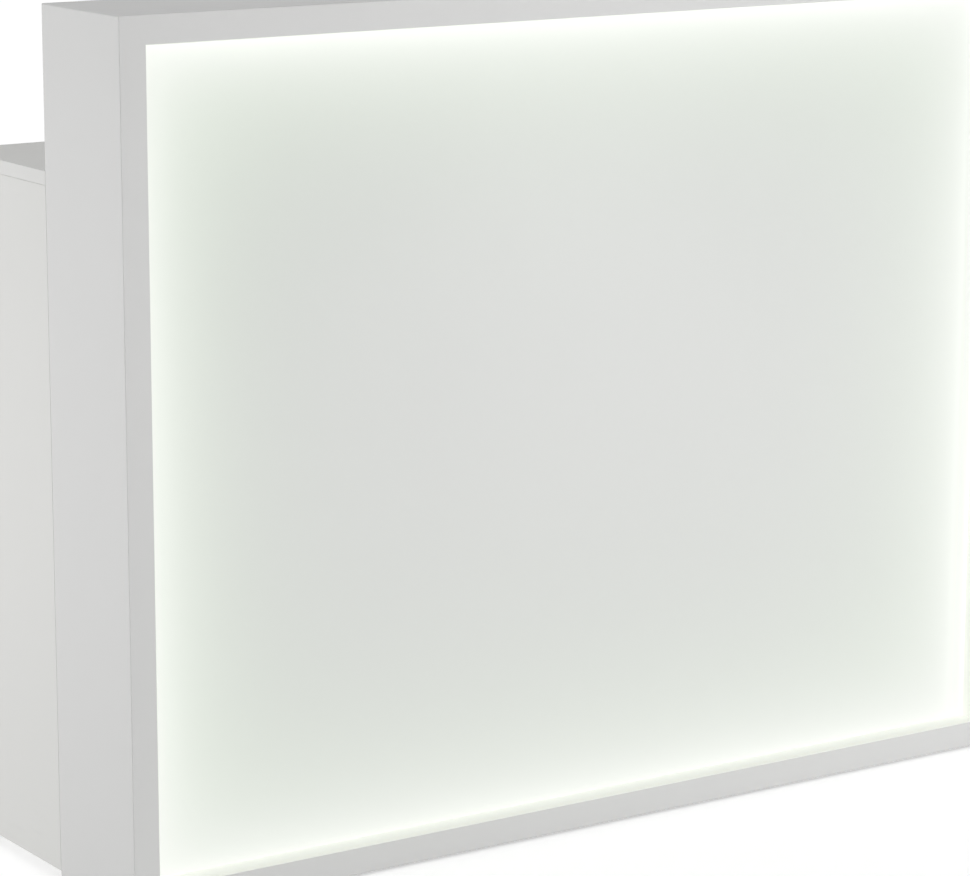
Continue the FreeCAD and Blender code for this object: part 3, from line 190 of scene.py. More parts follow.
class DeskFittings(bpy.types.PropertyGroup):
    """Sizes of the small fittings"""

    head_height: length_property("Head height", "Height of a screw's head", 0.003)
    slot_length: length_property("Slot length", "Length of a screw's cross slot", 0.0050)
    slot_width: length_property("Slot width", "Width of a screw's cross slot", 0.0013)
    slot_depth: length_property("Slot depth", "Depth of a screw's cross slot", 0.0018)
    head_bevel: length_property("Head bevel", "Bevel round a screw's head", 0.0005)
    cam_slot_length: length_property("Cam slot length", "Length of a cam's cross slot", 0.0095)
    cam_slot_width: length_property("Cam slot width", "Width of a cam's cross slot", 0.0022)
    cam_slot_depth: length_property("Cam slot depth", "Depth of a cam's cross slot", 0.0035)
    cam_bevel: length_property("Cam bevel", "Bevel round a cam's face", 0.0008)
    thread_pitch: length_property("Thread pitch", "Pitch of the feet's studs", 0.00125)
    thread_depth: length_property("Thread depth", "Depth of their thread", 0.0007)
    key_width: length_property("Key width", "Width of the six-sided socket in a stud", 0.004)
    key_depth: length_property("Key depth", "Depth of that socket", 0.005)
    mark_size: length_property("Mark size", "Height of the switch's marks", 0.0045)
    mark_stroke: length_property("Mark stroke", "Width of the marks' lines", 0.0007)
    mark_rise: length_property("Mark rise", "Thickness of the print", 0.0001)
    rocker_front: length_property("Rocker front", "Rocker's ends in front of its pivot", 0.0035)
    rocker_dip: length_property("Rocker dip", "How far the rocker's middle lies back", 0.0013)
    rocker_half: length_property("Rocker half", "Half the rocker's length", 0.009)
    rocker_rest: angle_property("Rocker rest", "Rocker's tilt at rest", 8.0)


class DeskStudio(bpy.types.PropertyGroup):
    """Camera and light"""

    camera_left: length_property("Camera left", "From the desk's left side to the camera", 2.0167)
    camera_ahead: length_property("Camera ahead", "From the desk's front to the camera", 3.7666)
    camera_height: length_property("Camera height", "Camera above the floor", 1.5116)
    heading: angle_property("Heading", "Camera's turn towards the right", 33.876)
    dip: angle_property("Dip", "Camera's tilt downwards", 12.013)
    roll: angle_property("Roll", "Camera's turn about its own axis", 0.122)
    lens: bpy.props.FloatProperty(
        name="Lens", description="Focal length over the sensor's width", default=136.13,
        unit="CAMERA", min=1.0)
    sky: share_property("Sky", "Light from all round", 0.51)
    left_lamp: power_property("Left lamp", "Soft light at the left", 16.0)
    front_lamp: power_property("Front lamp", "Soft light in front, at the right", 40.0)
    near_lamp: power_property("Near lamp", "Soft light beside the camera", 11.0)
    right_lamp: power_property("Right lamp", "Soft light at the right, below the worktop", 14.0)
    rear_lamp: power_property("Rear lamp", "Soft light behind the desk, below its worktop", 28.0)
    floor: colour_property("Floor", "Matt floor", (0.86, 0.86, 0.86))
    far_lift: share_property("Far lift", "What makes the far floor look white", 0.60)
    near_lift: share_property("Near lift", "The same round the desk, which the lamps light too", 0.455)
    lift_from: length_property("Lift from", "How far from the desk's middle the lift begins to grow", 1.2)
    lift_to: length_property("Lift to", "How far from it the lift has grown", 2.6)


class Wire:
    """A node's output. Arithmetic on it adds Math nodes."""

    def __init__(self, shade, socket):
        self.shade = shade
        self.socket = socket

    def maths(self, operation, *values):
        """A Math node on the given values."""
        return self.shade.node("ShaderNodeMath", {"operation": operation}, dict(enumerate(values)))

    def __add__(self, other):
        return self.maths("ADD", self, other)

    def __radd__(self, other):
        return self.maths("ADD", other, self)

    def __sub__(self, other):
        return self.maths("SUBTRACT", self, other)

    def __rsub__(self, other):
        return self.maths("SUBTRACT", other, self)

    def __mul__(self, other):
        return self.maths("MULTIPLY", self, other)

    def __rmul__(self, other):
        return self.maths("MULTIPLY", other, self)

    def __truediv__(self, other):
        return self.maths("DIVIDE", self, other)

    def __rtruediv__(self, other):
        return self.maths("DIVIDE", other, self)

    def __abs__(self):
        return self.maths("ABSOLUTE", self)

    def fall_off(self, reach):
        """1 at zero, less by a factor e for each reach."""
        return self.maths("EXPONENT", self / -reach)

    def most(self, other):
        """The larger of two values."""
        return self.maths("MAXIMUM", self, other)

    def least(self, other):
        """The smaller of two values."""
        return self.maths("MINIMUM", self, other)

    def rise(self, low, high):
        """0 up to low, 1 from high on, smooth between."""
        return self.shade.node("ShaderNodeMapRange", {"interpolation_type": "SMOOTHSTEP"},
                               {"Value": self, "From Min": low, "From Max": high})


class Shade:
    """The nodes of a material or of the world."""

    def __init__(self, owner):
        owner.use_nodes = True
        self.owner = owner
        self.tree = owner.node_tree
        self.tree.nodes.clear()

    def node(self, kind, settings=None, inputs=None, output=0):
        """Add a node: first its settings, then each socket's value or link."""
        made = self.tree.nodes.new(kind)
        for name, setting in (settings or {}).items():
            setattr(made, name, setting)
        for name, given in (inputs or {}).items():
            if isinstance(given, Wire):
                self.tree.links.new(given.socket, made.inputs[name])
            else:
                made.inputs[name].default_value = given
        return Wire(self, made.outputs[output]) if made.outputs else None

    def place(self, stretch=None):
        """The point on the piece in metres; with stretch, each axis times a factor."""
        point = self.node("ShaderNodeTexCoord", output="Object")
        if stretch is None:
            return point
        return self.node("ShaderNodeVectorMath", {"operation": "MULTIPLY"}, {0: point, 1: stretch})

    def axes(self):
        """The point's three numbers."""
        point = self.place()
        return [self.node("ShaderNodeSeparateXYZ", inputs={0: point}, output=axis) for axis in "XYZ"]

    def noise(self, scale, detail=2.0, roughness=0.5):
        """Cloudy values about 0.5: a number of lumps to the metre, or one number for each axis."""
        even = isinstance(scale, (int, float))
        return self.node("ShaderNodeTexNoise", inputs={
            "Vector": self.place(None if even else scale), "Scale": float(scale) if even else 1.0,
            "Detail": detail, "Roughness": roughness})

    def blend(self, share, first, second):
        """From the first colour to the second as the share goes from 0 to 1."""
        return self.node("ShaderNodeMix", {"data_type": "RGBA"},
                         {"Factor": share, "A": solid(first), "B": solid(second)}, "Result")

    def relief(self, height, depth):
        """A normal for a surface that stands up by so many metres where the height is 1."""
        return self.node("ShaderNodeBump", inputs={"Height": height, "Distance": depth, "Strength": 1.0})

    def surface(self, **sockets):
        """Close a material with a surface. In the sockets' names _ stands for a space."""
        named = {name.replace("_", " "): value for name, value in sockets.items()}
        self.node("ShaderNodeOutputMaterial",
                  inputs={"Surface": self.node("ShaderNodeBsdfPrincipled", inputs=named)})
        return self.owner


def solid(colour):
    """A colour as a socket takes it. A link stays as it is."""
    return colour if isinstance(colour, Wire) else (*tuple(colour)[:3], 1.0)


def darker(colour, share):
    """A colour times a share."""
    return tuple(channel * share for channel in tuple(colour)[:3])


def new_shade(name):
    """The nodes of a new material."""
    return Shade(bpy.data.materials.new(name))


def front_opening():
    """The frame's opening: its lowest and highest corners, at the front and at the panel's face."""
    low = Vector((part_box("left_side_board")[1].x, CAD_BOX[0].y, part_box("bottom_board")[1].z))
    high = Vector((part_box("right_side_board")[0].x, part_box("diffuser_panel")[0].y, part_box("top_board")[0].z))
    return low, high


def frame_lacquer(colours, glow):
    """Sprayed satin lacquer: faint clouds and orange peel. On the faces that look into the opening, painted light
    in the emission stands for the light of the panel's edge, and falls off towards the front."""
    shade = new_shade("frame_lacquer")
    x, y, z = shade.axes()
    low, high = front_opening()
    middle, half = (low + high) / 2, (high - low) / 2
    outside = (abs(x - middle.x) - half.x).most(abs(z - middle.z) - half.z)
    # painted light: the panel's spill on the reveals, laid into the lacquer's emission and not cast by a lamp
    lit = (1.0 - outside.rise(0.0004, 0.0012)) * (high.y - y).fall_off(glow.spill_reach) * glow.spill
    cloud = shade.noise(2.2)
    return shade.surface(
        Base_Color=shade.blend(cloud, colours.lacquer, darker(colours.lacquer, 0.985)),
        Roughness=0.42 + 0.10 * shade.noise(14.0, detail=3.0),
        Emission_Color=shade.blend(lit, (0.0, 0.0, 0.0), colours.spill_tint),
        Emission_Strength=1.0,
        Normal=shade.relief(shade.noise(420.0, detail=1.0), depth=0.00002),
    )


def opal_panel(colours, glow):
    """Frosted opal sheet. Its light is a level that leans to the left and downwards, and from each edge e to
    the power of minus the distance over a reach, where green reaches further than red and blue. Towards an
    edge's ends its light loses a share of what the edge across that end gives. A narrow rim is added; at the
    right edge it is wider and stronger, painted light that fills the shadow the right board casts from the front
    lamp."""
    shade = new_shade("opal_panel")
    x, _, z = shade.axes()
    low, high = front_opening()
    middle = (low + high) / 2
    distances = {"left": x - low.x, "right": high.x - x, "top": high.z - z, "bottom": z - low.z}
    level = (glow.all_over + glow.leftward * (middle.x - x) + glow.downward * (middle.z - z)).most(0.0)
    for edge, distance in distances.items():
        # the right edge's rim is painted light over the shadow that the right board casts from the front lamp
        rim = "right_rim" if edge == "right" else "rim"
        level = level + getattr(glow, rim) * distance.fall_off(getattr(glow, f"{rim}_reach"))
    channels = []
    for tint, reach_share in zip(colours.glow, (glow.red, glow.green, glow.blue)):
        near = {edge: distance.fall_off(getattr(glow, f"{edge}_reach") * reach_share)
                for edge, distance in distances.items()}
        light = level
        for edges, across in ((SIDES, LEVELS), (LEVELS, SIDES)):
            first, second = (getattr(glow, edge) * near[edge] for edge in edges)
            low_end, high_end = (1.0 - glow.ends * near[edge] for edge in across)
            light = light + (first + second) * low_end * high_end
        channels.append(light * tint)
    cloud = shade.noise(1.6)
    return shade.surface(
        Base_Color=shade.blend(cloud, colours.opal, darker(colours.opal, 0.985)),
        Roughness=0.40 + 0.08 * cloud,
        Emission_Color=shade.node("ShaderNodeCombineColor", inputs=dict(enumerate(channels))),
        Emission_Strength=1.0,
        Normal=shade.relief(shade.noise(2600.0, detail=1.0), depth=0.00002),
    )


def board_facing(colours):
    """Melamine facing: a fine pearl relief, clouds in its gloss, and faint grey patches near the floor, darker
    towards the bottom.
    """
    shade = new_shade("board_facing")
    height = shade.axes()[2]
    # grey patches from noise: full below 2 cm above the floor, gone above 12 cm
    low_grey_patches = (1.0 - height.rise(0.02, 0.12)) * shade.noise((9.0, 9.0, 60.0), detail=4.0).rise(0.55, 0.78)
    tone = shade.blend(shade.noise(3.0, detail=3.0), colours.laminate, darker(colours.laminate, 0.975))
    return shade.surface(
        Base_Color=shade.blend(low_grey_patches * 0.15, tone, darker(colours.laminate, 0.6)),
        Roughness=0.42 + 0.12 * shade.noise(9.0, detail=4.0),
        Normal=shade.relief(shade.noise(1500.0, roughness=0.6), depth=0.00004),
    )


def beech_wood(colours):
    """Planed beech: growth lines drawn out along X, and short dark flecks."""
    shade = new_shade("beech_wood")
    lines = shade.noise((5.0, 220.0, 220.0), detail=4.0, roughness=0.6)
    flecks = shade.noise((180.0, 1600.0, 1600.0)).rise(0.60, 0.72)
    tone = shade.blend(lines.rise(0.3, 0.75), colours.beech, colours.grain)
    return shade.surface(
        Base_Color=shade.blend(flecks * 0.5, tone, darker(colours.grain, 0.7)),
        Roughness=0.50 + 0.15 * lines,
        Normal=shade.relief(lines, depth=0.00012),
    )


def light_tape(colours):
    """Circuit tape: a pale carrier with small printed tracks, shining by itself."""
    shade = new_shade("light_tape")
    tracks = shade.noise(400.0, detail=1.0).rise(0.62, 0.66)
    tone = shade.blend(tracks, colours.tape, darker(colours.tape, 0.7))
    return shade.surface(Base_Color=tone, Roughness=0.50 + 0.10 * tracks, Emission_Color=tone,
                         Emission_Strength=0.6)


def mottled(name, colour, other, cloud_scale, roughness, spread, grain_scale, depth, metal=0.0):
    """A finish whose colour drifts in clouds, and whose roughness and relief follow a finer grain."""
    shade = new_shade(name)
    grain = shade.noise(grain_scale, roughness=0.6)
    return shade.surface(
        Base_Color=shade.blend(shade.noise(cloud_scale, detail=3.0).rise(0.3, 0.7), colour, other),
        Metallic=metal,
        Roughness=roughness + spread * grain,
        Normal=shade.relief(grain, depth),
    )


def toned(name, colour, share, **numbers):
    """A mottled finish whose clouds are darker by a share."""
    return mottled(name, colour, darker(colour, share), **numbers)


def plastic(name, colour, roughness, grain_scale, depth):
    """Moulded plastic: a slightly worn tone and an eroded texture."""
    return toned(name, colour, 0.95, cloud_scale=60.0, roughness=roughness, spread=0.12,
                 grain_scale=grain_scale, depth=depth)


def zinc_plate(name, zinc):
    """Bright zinc: bluish and straw-coloured clouds, and fine scratches."""
    straw = (zinc[0] * 1.05, zinc[1], zinc[2] * 0.88)
    return mottled(name, zinc, straw, cloud_scale=180.0, roughness=0.26, spread=0.20,
                   grain_scale=(3000.0, 500.0, 3000.0), depth=0.00001, metal=1.0)


# The finish of each slot, from the desk's colours and its glow
FINISHES = {
    "white_lacquer": frame_lacquer,
    "opal_acrylic": opal_panel,
    "white_laminate": lambda c, g: board_facing(c),
    "white_edging": lambda c, g: toned(
        "edge_band", c.edging, 0.97, cloud_scale=6.0, roughness=0.40, spread=0.10,
        grain_scale=(4.0, 4.0, 4000.0), depth=0.00002),
    "beech": lambda c, g: beech_wood(c),
    "light_tape": lambda c, g: light_tape(c),
    "white_hardboard": lambda c, g: toned(
        "painted_hardboard", c.hardboard, 0.95, cloud_scale=30.0, roughness=0.62, spread=0.10,
        grain_scale=(900.0, 900.0, 260.0), depth=0.00008),
    "aluminium_profile": lambda c, g: toned(
        "anodised_extrusion", c.aluminium, 0.93, cloud_scale=20.0, roughness=0.30, spread=0.14,
        grain_scale=(6.0, 3000.0, 3000.0), depth=0.00002, metal=1.0),
    "zinc_steel": lambda c, g: zinc_plate("zinc_plate", c.zinc),
    "foot_steel": lambda c, g: zinc_plate("stud_zinc", c.zinc),
    "zinc_casting": lambda c, g: toned(
        "cam_casting", c.casting, 0.8, cloud_scale=240.0, roughness=0.42, spread=0.16,
        grain_scale=1400.0, depth=0.00004, metal=1.0),
    "grey_powder_coat": lambda c, g: toned(
        "powder_coat", c.powder, 0.94, cloud_scale=12.0, roughness=0.46, spread=0.14,
        grain_scale=1100.0, depth=0.00008),
    "inlet_brass": lambda c, g: toned(
        "turned_brass", c.brass, 0.72, cloud_scale=300.0, roughness=0.24, spread=0.20,
        grain_scale=900.0, depth=0.00001, metal=1.0),
    "grommet_plastic": lambda c, g: plastic(
        "outlet_plastic", c.outlet, roughness=0.40, grain_scale=1800.0, depth=0.00003),
    "black_plastic": lambda c, g: plastic(
        "spark_textured_plastic", c.black, roughness=0.48, grain_scale=2200.0, depth=0.00005),
    "rocker_plastic": lambda c, g: plastic(
        "polished_plastic", c.black, roughness=0.16, grain_scale=700.0, depth=0.00001),
    "lead_sheath": lambda c, g: plastic(
        "lead_sheath", c.sheath, roughness=0.46, grain_scale=900.0, depth=0.00003),
    "bush_rubber": lambda c, g: plastic(
        "bush_rubber", c.black, roughness=0.62, grain_scale=1200.0, depth=0.00006),
    "foot_plastic": lambda c, g: plastic(
        "foot_nylon", c.black, roughness=0.44, grain_scale=1600.0, depth=0.00005),
    "switch_print": lambda c, g: plastic(
        "switch_print", c.mark, roughness=0.45, grain_scale=1600.0, depth=0.00001),
}
FINISHED = {}


def finish_of(slot):
    """The material of a finish, made once."""
    if slot not in FINISHED:
        scene = bpy.context.scene
        FINISHED[slot] = FINISHES[slot](scene.desk_colours, scene.desk_glow)
    return FINISHED[slot]


def finish_nodes(*names):
    """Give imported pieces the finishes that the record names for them."""
    for name in names:
        materials = frame["nodes"][name].data.materials
        materials.clear()
        materials.append(finish_of(SLOT_OF[name]))


def tube_quads(rows, columns, closed_rows=False):
    """Faces of a grid of points whose columns run round, and whose rows may too."""
    spans = rows if closed_rows else rows - 1
    row, column = np.meshgrid(np.arange(spans), np.arange(columns), indexing="ij")
    onward = (column + 1) % columns
    above = (row + 1) % rows
    corners = [row * columns + column, row * columns + onward,
               above * columns + onward, above * columns + column]
    return np.stack(corners, axis=-1).reshape(-1, 4)


def closed_tube(rings):
    """A surface through rings of points (rows, columns, 3), with a pole in the middle of each end ring."""
    rows, columns = rings.shape[:2]
    around = np.arange(columns)
    onward = np.roll(around, -1)
    last = (rows - 1) * columns
    pole = np.full(columns, rows * columns)
    points = np.concatenate([rings.reshape(-1, 3), rings[[0, -1]].mean(axis=1)])
    ends = [np.stack([pole, onward, around], axis=-1),
            np.stack([pole + 1, last + around, last + onward], axis=-1)]
    return points, tube_quads(rows, columns), np.concatenate(ends)


def inside_out(surface):
    """The same surface with its faces turned round."""
    points, quads, triangles = surface
    return points, quads[:, ::-1], triangles[:, ::-1]


def placed(surface, turn, spots):
    """A surface turned by a matrix and repeated at every spot."""
    points, quads, triangles = surface
    spots = np.asarray(spots, dtype=float)
    shift = np.arange(len(spots))[:, None, None] * len(points)
    moved = (points @ np.asarray(turn).T)[None] + spots[:, None]
    return moved.reshape(-1, 3), (quads + shift).reshape(-1, 4), (triangles + shift).reshape(-1, 3)


def joined(*surfaces):
    """Several surfaces as one."""
    starts = np.cumsum([0] + [len(points) for points, _, _ in surfaces])
    return (np.concatenate([points for points, _, _ in surfaces]),
            np.concatenate([quads + start for (_, quads, _), start in zip(surfaces, starts)]),
            np.concatenate([triangles + start for (_, _, triangles), start in zip(surfaces, starts)]))


def make_piece(name, surface, body, finish, replaced=()):
    """A piece from a surface: smooth but for its sharp edges, finished, and riding on a body."""
    points, quads, triangles = surface
    corners = np.concatenate([quads.ravel(), triangles.ravel()])
    counts = np.concatenate([np.full(len(quads), 4), np.full(len(triangles), 3)])
    mesh = bpy.data.meshes.new(name)
    mesh.vertices.add(len(points))
    mesh.vertices.foreach_set("co", points.astype(np.float32).ravel())
    mesh.loops.add(len(corners))
    mesh.loops.foreach_set("vertex_index", corners.astype(np.int32))
    mesh.polygons.add(len(counts))
    mesh.polygons.foreach_set("loop_start", (np.cumsum(counts) - counts).astype(np.int32))
    mesh.update(calc_edges=True)
    if mesh.validate():
        raise RuntimeError(f"{name} has a bad face")
    mesh.polygons.foreach_set("use_smooth", np.ones(len(counts), dtype=bool))
    mesh.set_sharp_from_angle(angle=SHARP_ANGLE)
    mesh.materials.append(finish_of(finish))
    piece = bpy.data.objects.new(name, mesh)
    bpy.context.scene.collection.objects.link(piece)
    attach(piece, body)
    if replaced:
        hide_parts(*replaced)


def turns_of(columns):
    """Angles evenly spaced round a circle."""
    return np.linspace(0.0, FULL_TURN, columns, endpoint=False)


def cross_reach(turns, length, width):
    """How far a plus sign reaches at each turn: the further of its two bars, each a rectangle whose edge
    lies at half its size over the cosine or the sine."""
    across = np.maximum(np.abs(np.cos(turns)), TINY)
    along = np.maximum(np.abs(np.sin(turns)), TINY)
    level = np.minimum(length / across, width / along)
    upright = np.minimum(width / across, length / along)
    return np.maximum(level, upright) / 2


def hexagon_reach(turns, width):
    """How far a hexagon reaches at each turn: half its width over the cosine of the angle from the middle
    of the side."""
    from_middle = np.mod(turns, FULL_TURN / 6) - FULL_TURN / 12
    return width / 2 / np.cos(from_middle)


def rings_of(turns, rows):
    """Rings about Z: each row gives a reach, one for all turns or one for each, and a height."""
    return np.stack([
        np.stack([reach * np.cos(turns), reach * np.sin(turns), np.full(len(turns), height)], axis=-1)
        for reach, height in rows])


def slotted_head(radius, height, cross, depth, bevel, columns=48):
    """Rows of a round head with its top at z = 0: the slot's floor and edge, the bevel, and the side."""
    turns = turns_of(columns)
    edge = cross_reach(turns, *cross)
    return turns, [(SLOT_FLOOR_SHARE * edge, -depth), (edge, 0.0), (radius - bevel, 0.0),
                   (radius, -bevel), (radius, -height)]


def wood_screw(sizes, radius, length):
    """A screw with its head's top at z = 0: the slotted head, a shank of half its width, and a blunt point
    whose cone is one and a half shank widths long."""
    shank = radius / 2
    turns, rows = slotted_head(radius, sizes.head_height, (sizes.slot_length, sizes.slot_width),
                               sizes.slot_depth, sizes.head_bevel)
    rows += [(shank, -sizes.head_height), (shank, 3 * shank - length), (POINT_SHARE * shank, -length)]
    return inside_out(closed_tube(rings_of(turns, rows)))


def cam(sizes, radius, length):
    """A cam with its slotted face at z = 0: a plain round body below it, bevelled at its far end."""
    turns, rows = slotted_head(radius, length - sizes.cam_bevel,
                               (sizes.cam_slot_length, sizes.cam_slot_width),
                               sizes.cam_slot_depth, sizes.cam_bevel)
    rows += [(radius - sizes.cam_bevel, -length)]
    return inside_out(closed_tube(rings_of(turns, rows)))


def threaded_stud(sizes, radius, low, high, columns=24, steps=6):
    """A threaded bar along Z with a six-sided socket in its top. The thread's reach falls and rises in
    straight flanks with the height over the pitch less the turn, and fades out over a pitch at each end."""
    pitch = sizes.thread_pitch
    turns = turns_of(columns)
    heights = np.linspace(low, high, round((high - low) / pitch * steps) + 1)
    phase = np.mod((heights[:, None] - low) / pitch - turns / FULL_TURN, 1.0)
    fade = np.clip(np.minimum(heights - low, high - heights) / pitch, 0.0, 1.0)[:, None]
    reach = radius - sizes.thread_depth * (1.0 - fade * np.abs(2.0 * phase - 1.0))
    socket = hexagon_reach(turns, sizes.key_width)
    rows = list(zip(reach, heights)) + [(socket, high), (socket, high - sizes.key_depth)]
    return closed_tube(rings_of(turns, rows))


def bar_mark(length, stroke, rise, columns=12, rows=13):
    """A bar along Z: a flat oval carried along it. Its heights go as a sine, closer together towards the
    ends, where the oval shrinks as a circle does."""
    heights = length / 2 * np.sin(np.linspace(-BAR_END_TURN, BAR_END_TURN, rows))
    past = np.clip((np.abs(heights) - (length - stroke) / 2) / (stroke / 2), 0.0, 1.0)
    shrink = np.sqrt(np.maximum(1.0 - past ** 2, LEAST_SHRINK))[:, None]
    turns = turns_of(columns)
    rings = np.stack([rise * shrink * np.cos(turns), stroke / 2 * shrink * np.sin(turns),
                      np.repeat(heights[:, None], columns, axis=1)], axis=-1)
    return closed_tube(rings)


def ring_mark(size, stroke, rise, columns=12, rows=32):
    """A ring in the YZ plane: a flat oval carried round a circle."""
    oval = turns_of(columns)
    round_turns = turns_of(rows)[:, None]
    reach = (size - stroke + stroke * np.cos(oval)) / 2
    points = np.stack([np.repeat(rise * np.sin(oval)[None], rows, axis=0),
                       reach * np.cos(round_turns), reach * np.sin(round_turns)], axis=-1).reshape(-1, 3)
    return inside_out((points, tube_quads(rows, columns, True), np.zeros((0, 3), dtype=int)))


def solids_of(node):
    """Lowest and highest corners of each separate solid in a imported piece. Points that share an edge get
    the least of their numbers until nothing changes."""
    mesh = frame["nodes"][node].data
    points = np.zeros(len(mesh.vertices) * 3, dtype=np.float32)
    mesh.vertices.foreach_get("co", points)
    spots, index = np.unique(np.round(points.reshape(-1, 3), SAME_DIGITS), axis=0, return_inverse=True)
    edges = np.zeros(len(mesh.edges) * 2, dtype=np.int32)
    mesh.edges.foreach_get("vertices", edges)
    first, second = index.ravel()[edges].reshape(-1, 2).T
    label, before = np.arange(len(spots)), None
    while not np.array_equal(label, before):
        before = label.copy()
        np.minimum.at(label, first, before[second])
        np.minimum.at(label, second, before[first])
    groups = [spots[label == number] for number in np.unique(label)]
    return (np.array([group.min(axis=0) for group in groups]),
            np.array([group.max(axis=0) for group in groups]))


def turn_up_to(direction):
    """A turn that takes +Z to a direction."""
    return np.array(Vector((0.0, 0.0, 1.0)).rotation_difference(Vector(direction)).to_matrix())


class DESK_OT_front_frame(bpy.types.Operator):
    """Finish the four lacquered boards and the lit panel between them"""
    bl_idname = "desk.front_frame"
    bl_label = "Front frame"

    def execute(self, context):
        finish_nodes("top_board", "bottom_board", "left_side_board", "right_side_board", "diffuser_panel")
        return {"FINISHED"}


class DESK_OT_light_box(bpy.types.Operator):
    """Finish what lies behind the lit panel: reflector, channels, tapes and corner brackets"""
    bl_idname = "desk.light_box"
    bl_label = "Light box"

    def execute(self, context):
        finish_nodes("reflector_panel", "corner_brackets", *(f"led_channel_{edge}" for edge in EDGES),
                     *(f"led_tape_{edge}" for edge in EDGES))
        return {"FINISHED"}


class DESK_OT_worktop(bpy.types.Operator):
    """Finish the worktop, the gables, the rear panels, the apron and the batten"""
    bl_idname = "desk.worktop"
    bl_label = "Worktop and gables"

    def execute(self, context):
        finish_nodes("worktop", "worktop_edging", "lower_rear_panel", "access_panel", "apron_rail",
                     "worktop_batten", *(f"{side}_gable" for side in SIDES),
                     *(f"{side}_gable_edging" for side in SIDES))
        return {"FINISHED"}


class DESK_OT_cable_ways(bpy.types.Operator):
    """Finish the cable outlets, the tray, the lead and its bush"""
    bl_idname = "desk.cable_ways"
    bl_label = "Cable ways"

    def execute(self, context):
        finish_nodes("cable_tray", "led_lead", "lead_bush", *(f"{side}_grommet_ring" for side in SIDES),
                     *(f"{side}_grommet_cap" for side in SIDES))
        return {"FINISHED"}


class DESK_OT_driver(bpy.types.Operator):
    """Finish the lights' driver and print the marks of its switch"""
    bl_idname = "desk.driver"
    bl_label = "Driver and switch"

    def execute(self, context):
        finish_nodes("driver_body", "driver_inlet_end", "driver_output_end", "inlet_pins", "rocker_switch")
        sizes = context.scene.desk_fittings
        pivot = next(joint for joint in frame["joints"] if joint["name"] == "rocker_tilt")["pos_m"]
        rest = Matrix.Rotation(sizes.rocker_rest, 3, "Z")
        slope = math.atan2(sizes.rocker_dip, sizes.rocker_half)
        marks = {-1: bar_mark(sizes.mark_size, sizes.mark_stroke, sizes.mark_rise),
                 1: ring_mark(sizes.mark_size, sizes.mark_stroke, sizes.mark_rise)}
        surfaces = []
        for end, mark in marks.items():
            face = Vector((sizes.rocker_dip / 2 - sizes.rocker_front, end * sizes.rocker_half / 2, 0.0))
            turn = rest @ Matrix.Rotation(math.pi + end * slope, 3, "Z")
            surfaces.append(placed(mark, turn, [Vector(pivot) + rest @ face]))
        make_piece("switch_marks", joined(*surfaces), "rocker", "switch_print")
        return {"FINISHED"}


class DESK_OT_screws(bpy.types.Operator):
    """Make the cross-slotted screws of the rear panels, the batten, the tray and the driver"""
    bl_idname = "desk.screws"
    bl_label = "Screws"

    def execute(self, context):
        sizes = context.scene.desk_fittings
        for node, axis, facing in (("panel_screws", 1, 1), ("batten_screws", 1, 1), ("driver_screws", 1, 1),
                                   ("tray_screws", 2, -1)):
            low, high = solids_of(node)
            heads = (low + high) / 2
            heads[:, axis] = (high if facing > 0 else low)[:, axis]
            extent = (high - low).mean(axis=0)
            screw = wood_screw(sizes, extent[0] / 2, extent[axis])
            turn = turn_up_to(facing * np.eye(3)[axis])
            make_piece(f"{node}_slotted", placed(screw, turn, heads), "desk", SLOT_OF[node], replaced=(node,))
        return {"FINISHED"}


class DESK_OT_knock_down(bpy.types.Operator):
    """Make the slotted cams of the gables and the apron, and finish their bolts and dowels"""
    bl_idname = "desk.knock_down"
    bl_label = "Knock-down fittings"

    def execute(self, context):
        finish_nodes("cam_bolts", "dowels")
        sizes = context.scene.desk_fittings
        low, high = solids_of("cam_discs")
        surfaces = []
        for lowest, highest in zip(low, high):
            extent = highest - lowest
            axis = int(np.argmin(extent))
            middle = (lowest + highest) / 2
            facing = -np.sign(middle[0]) if axis == 0 else -1.0
            face = middle.copy()
            face[axis] += facing * extent[axis] / 2
            disc = cam(sizes, extent[2] / 2, extent[axis])
            surfaces.append(placed(disc, turn_up_to(facing * np.eye(3)[axis]), [face]))
        make_piece("slotted_cams", joined(*surfaces), "desk", "zinc_casting", replaced=("cam_discs",))
        return {"FINISHED"}


class DESK_OT_levelling_feet(bpy.types.Operator):
    """Finish the feet's pads and inserts, and make their threaded studs"""
    bl_idname = "desk.levelling_feet"
    bl_label = "Levelling feet"

    def execute(self, context):
        finish_nodes("foot_inserts")
        sizes = context.scene.desk_fittings
        for foot in (f"{row}_{side}" for row in ROWS for side in SIDES):
            finish_nodes(f"{foot}_foot")
            low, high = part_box(f"{foot}_stud")
            middle = (low + high) / 2
            stud = threaded_stud(sizes, (high.x - low.x) / 2, low.z, high.z)
            make_piece(f"{foot}_threaded_stud", placed(stud, np.eye(3), [(middle.x, middle.y, 0.0)]),
                       f"{foot}_leveller", "foot_steel", replaced=(f"{foot}_stud",))
        return {"FINISHED"}


def seen(shade):
    """1 for rays that show the surroundings: from the camera, off gloss and through clear pieces."""
    camera, gloss, clear = (shade.node("ShaderNodeLightPath", output=f"Is {kind} Ray")
                            for kind in ("Camera", "Glossy", "Transmission"))
    return (camera + gloss + clear).least(1.0)


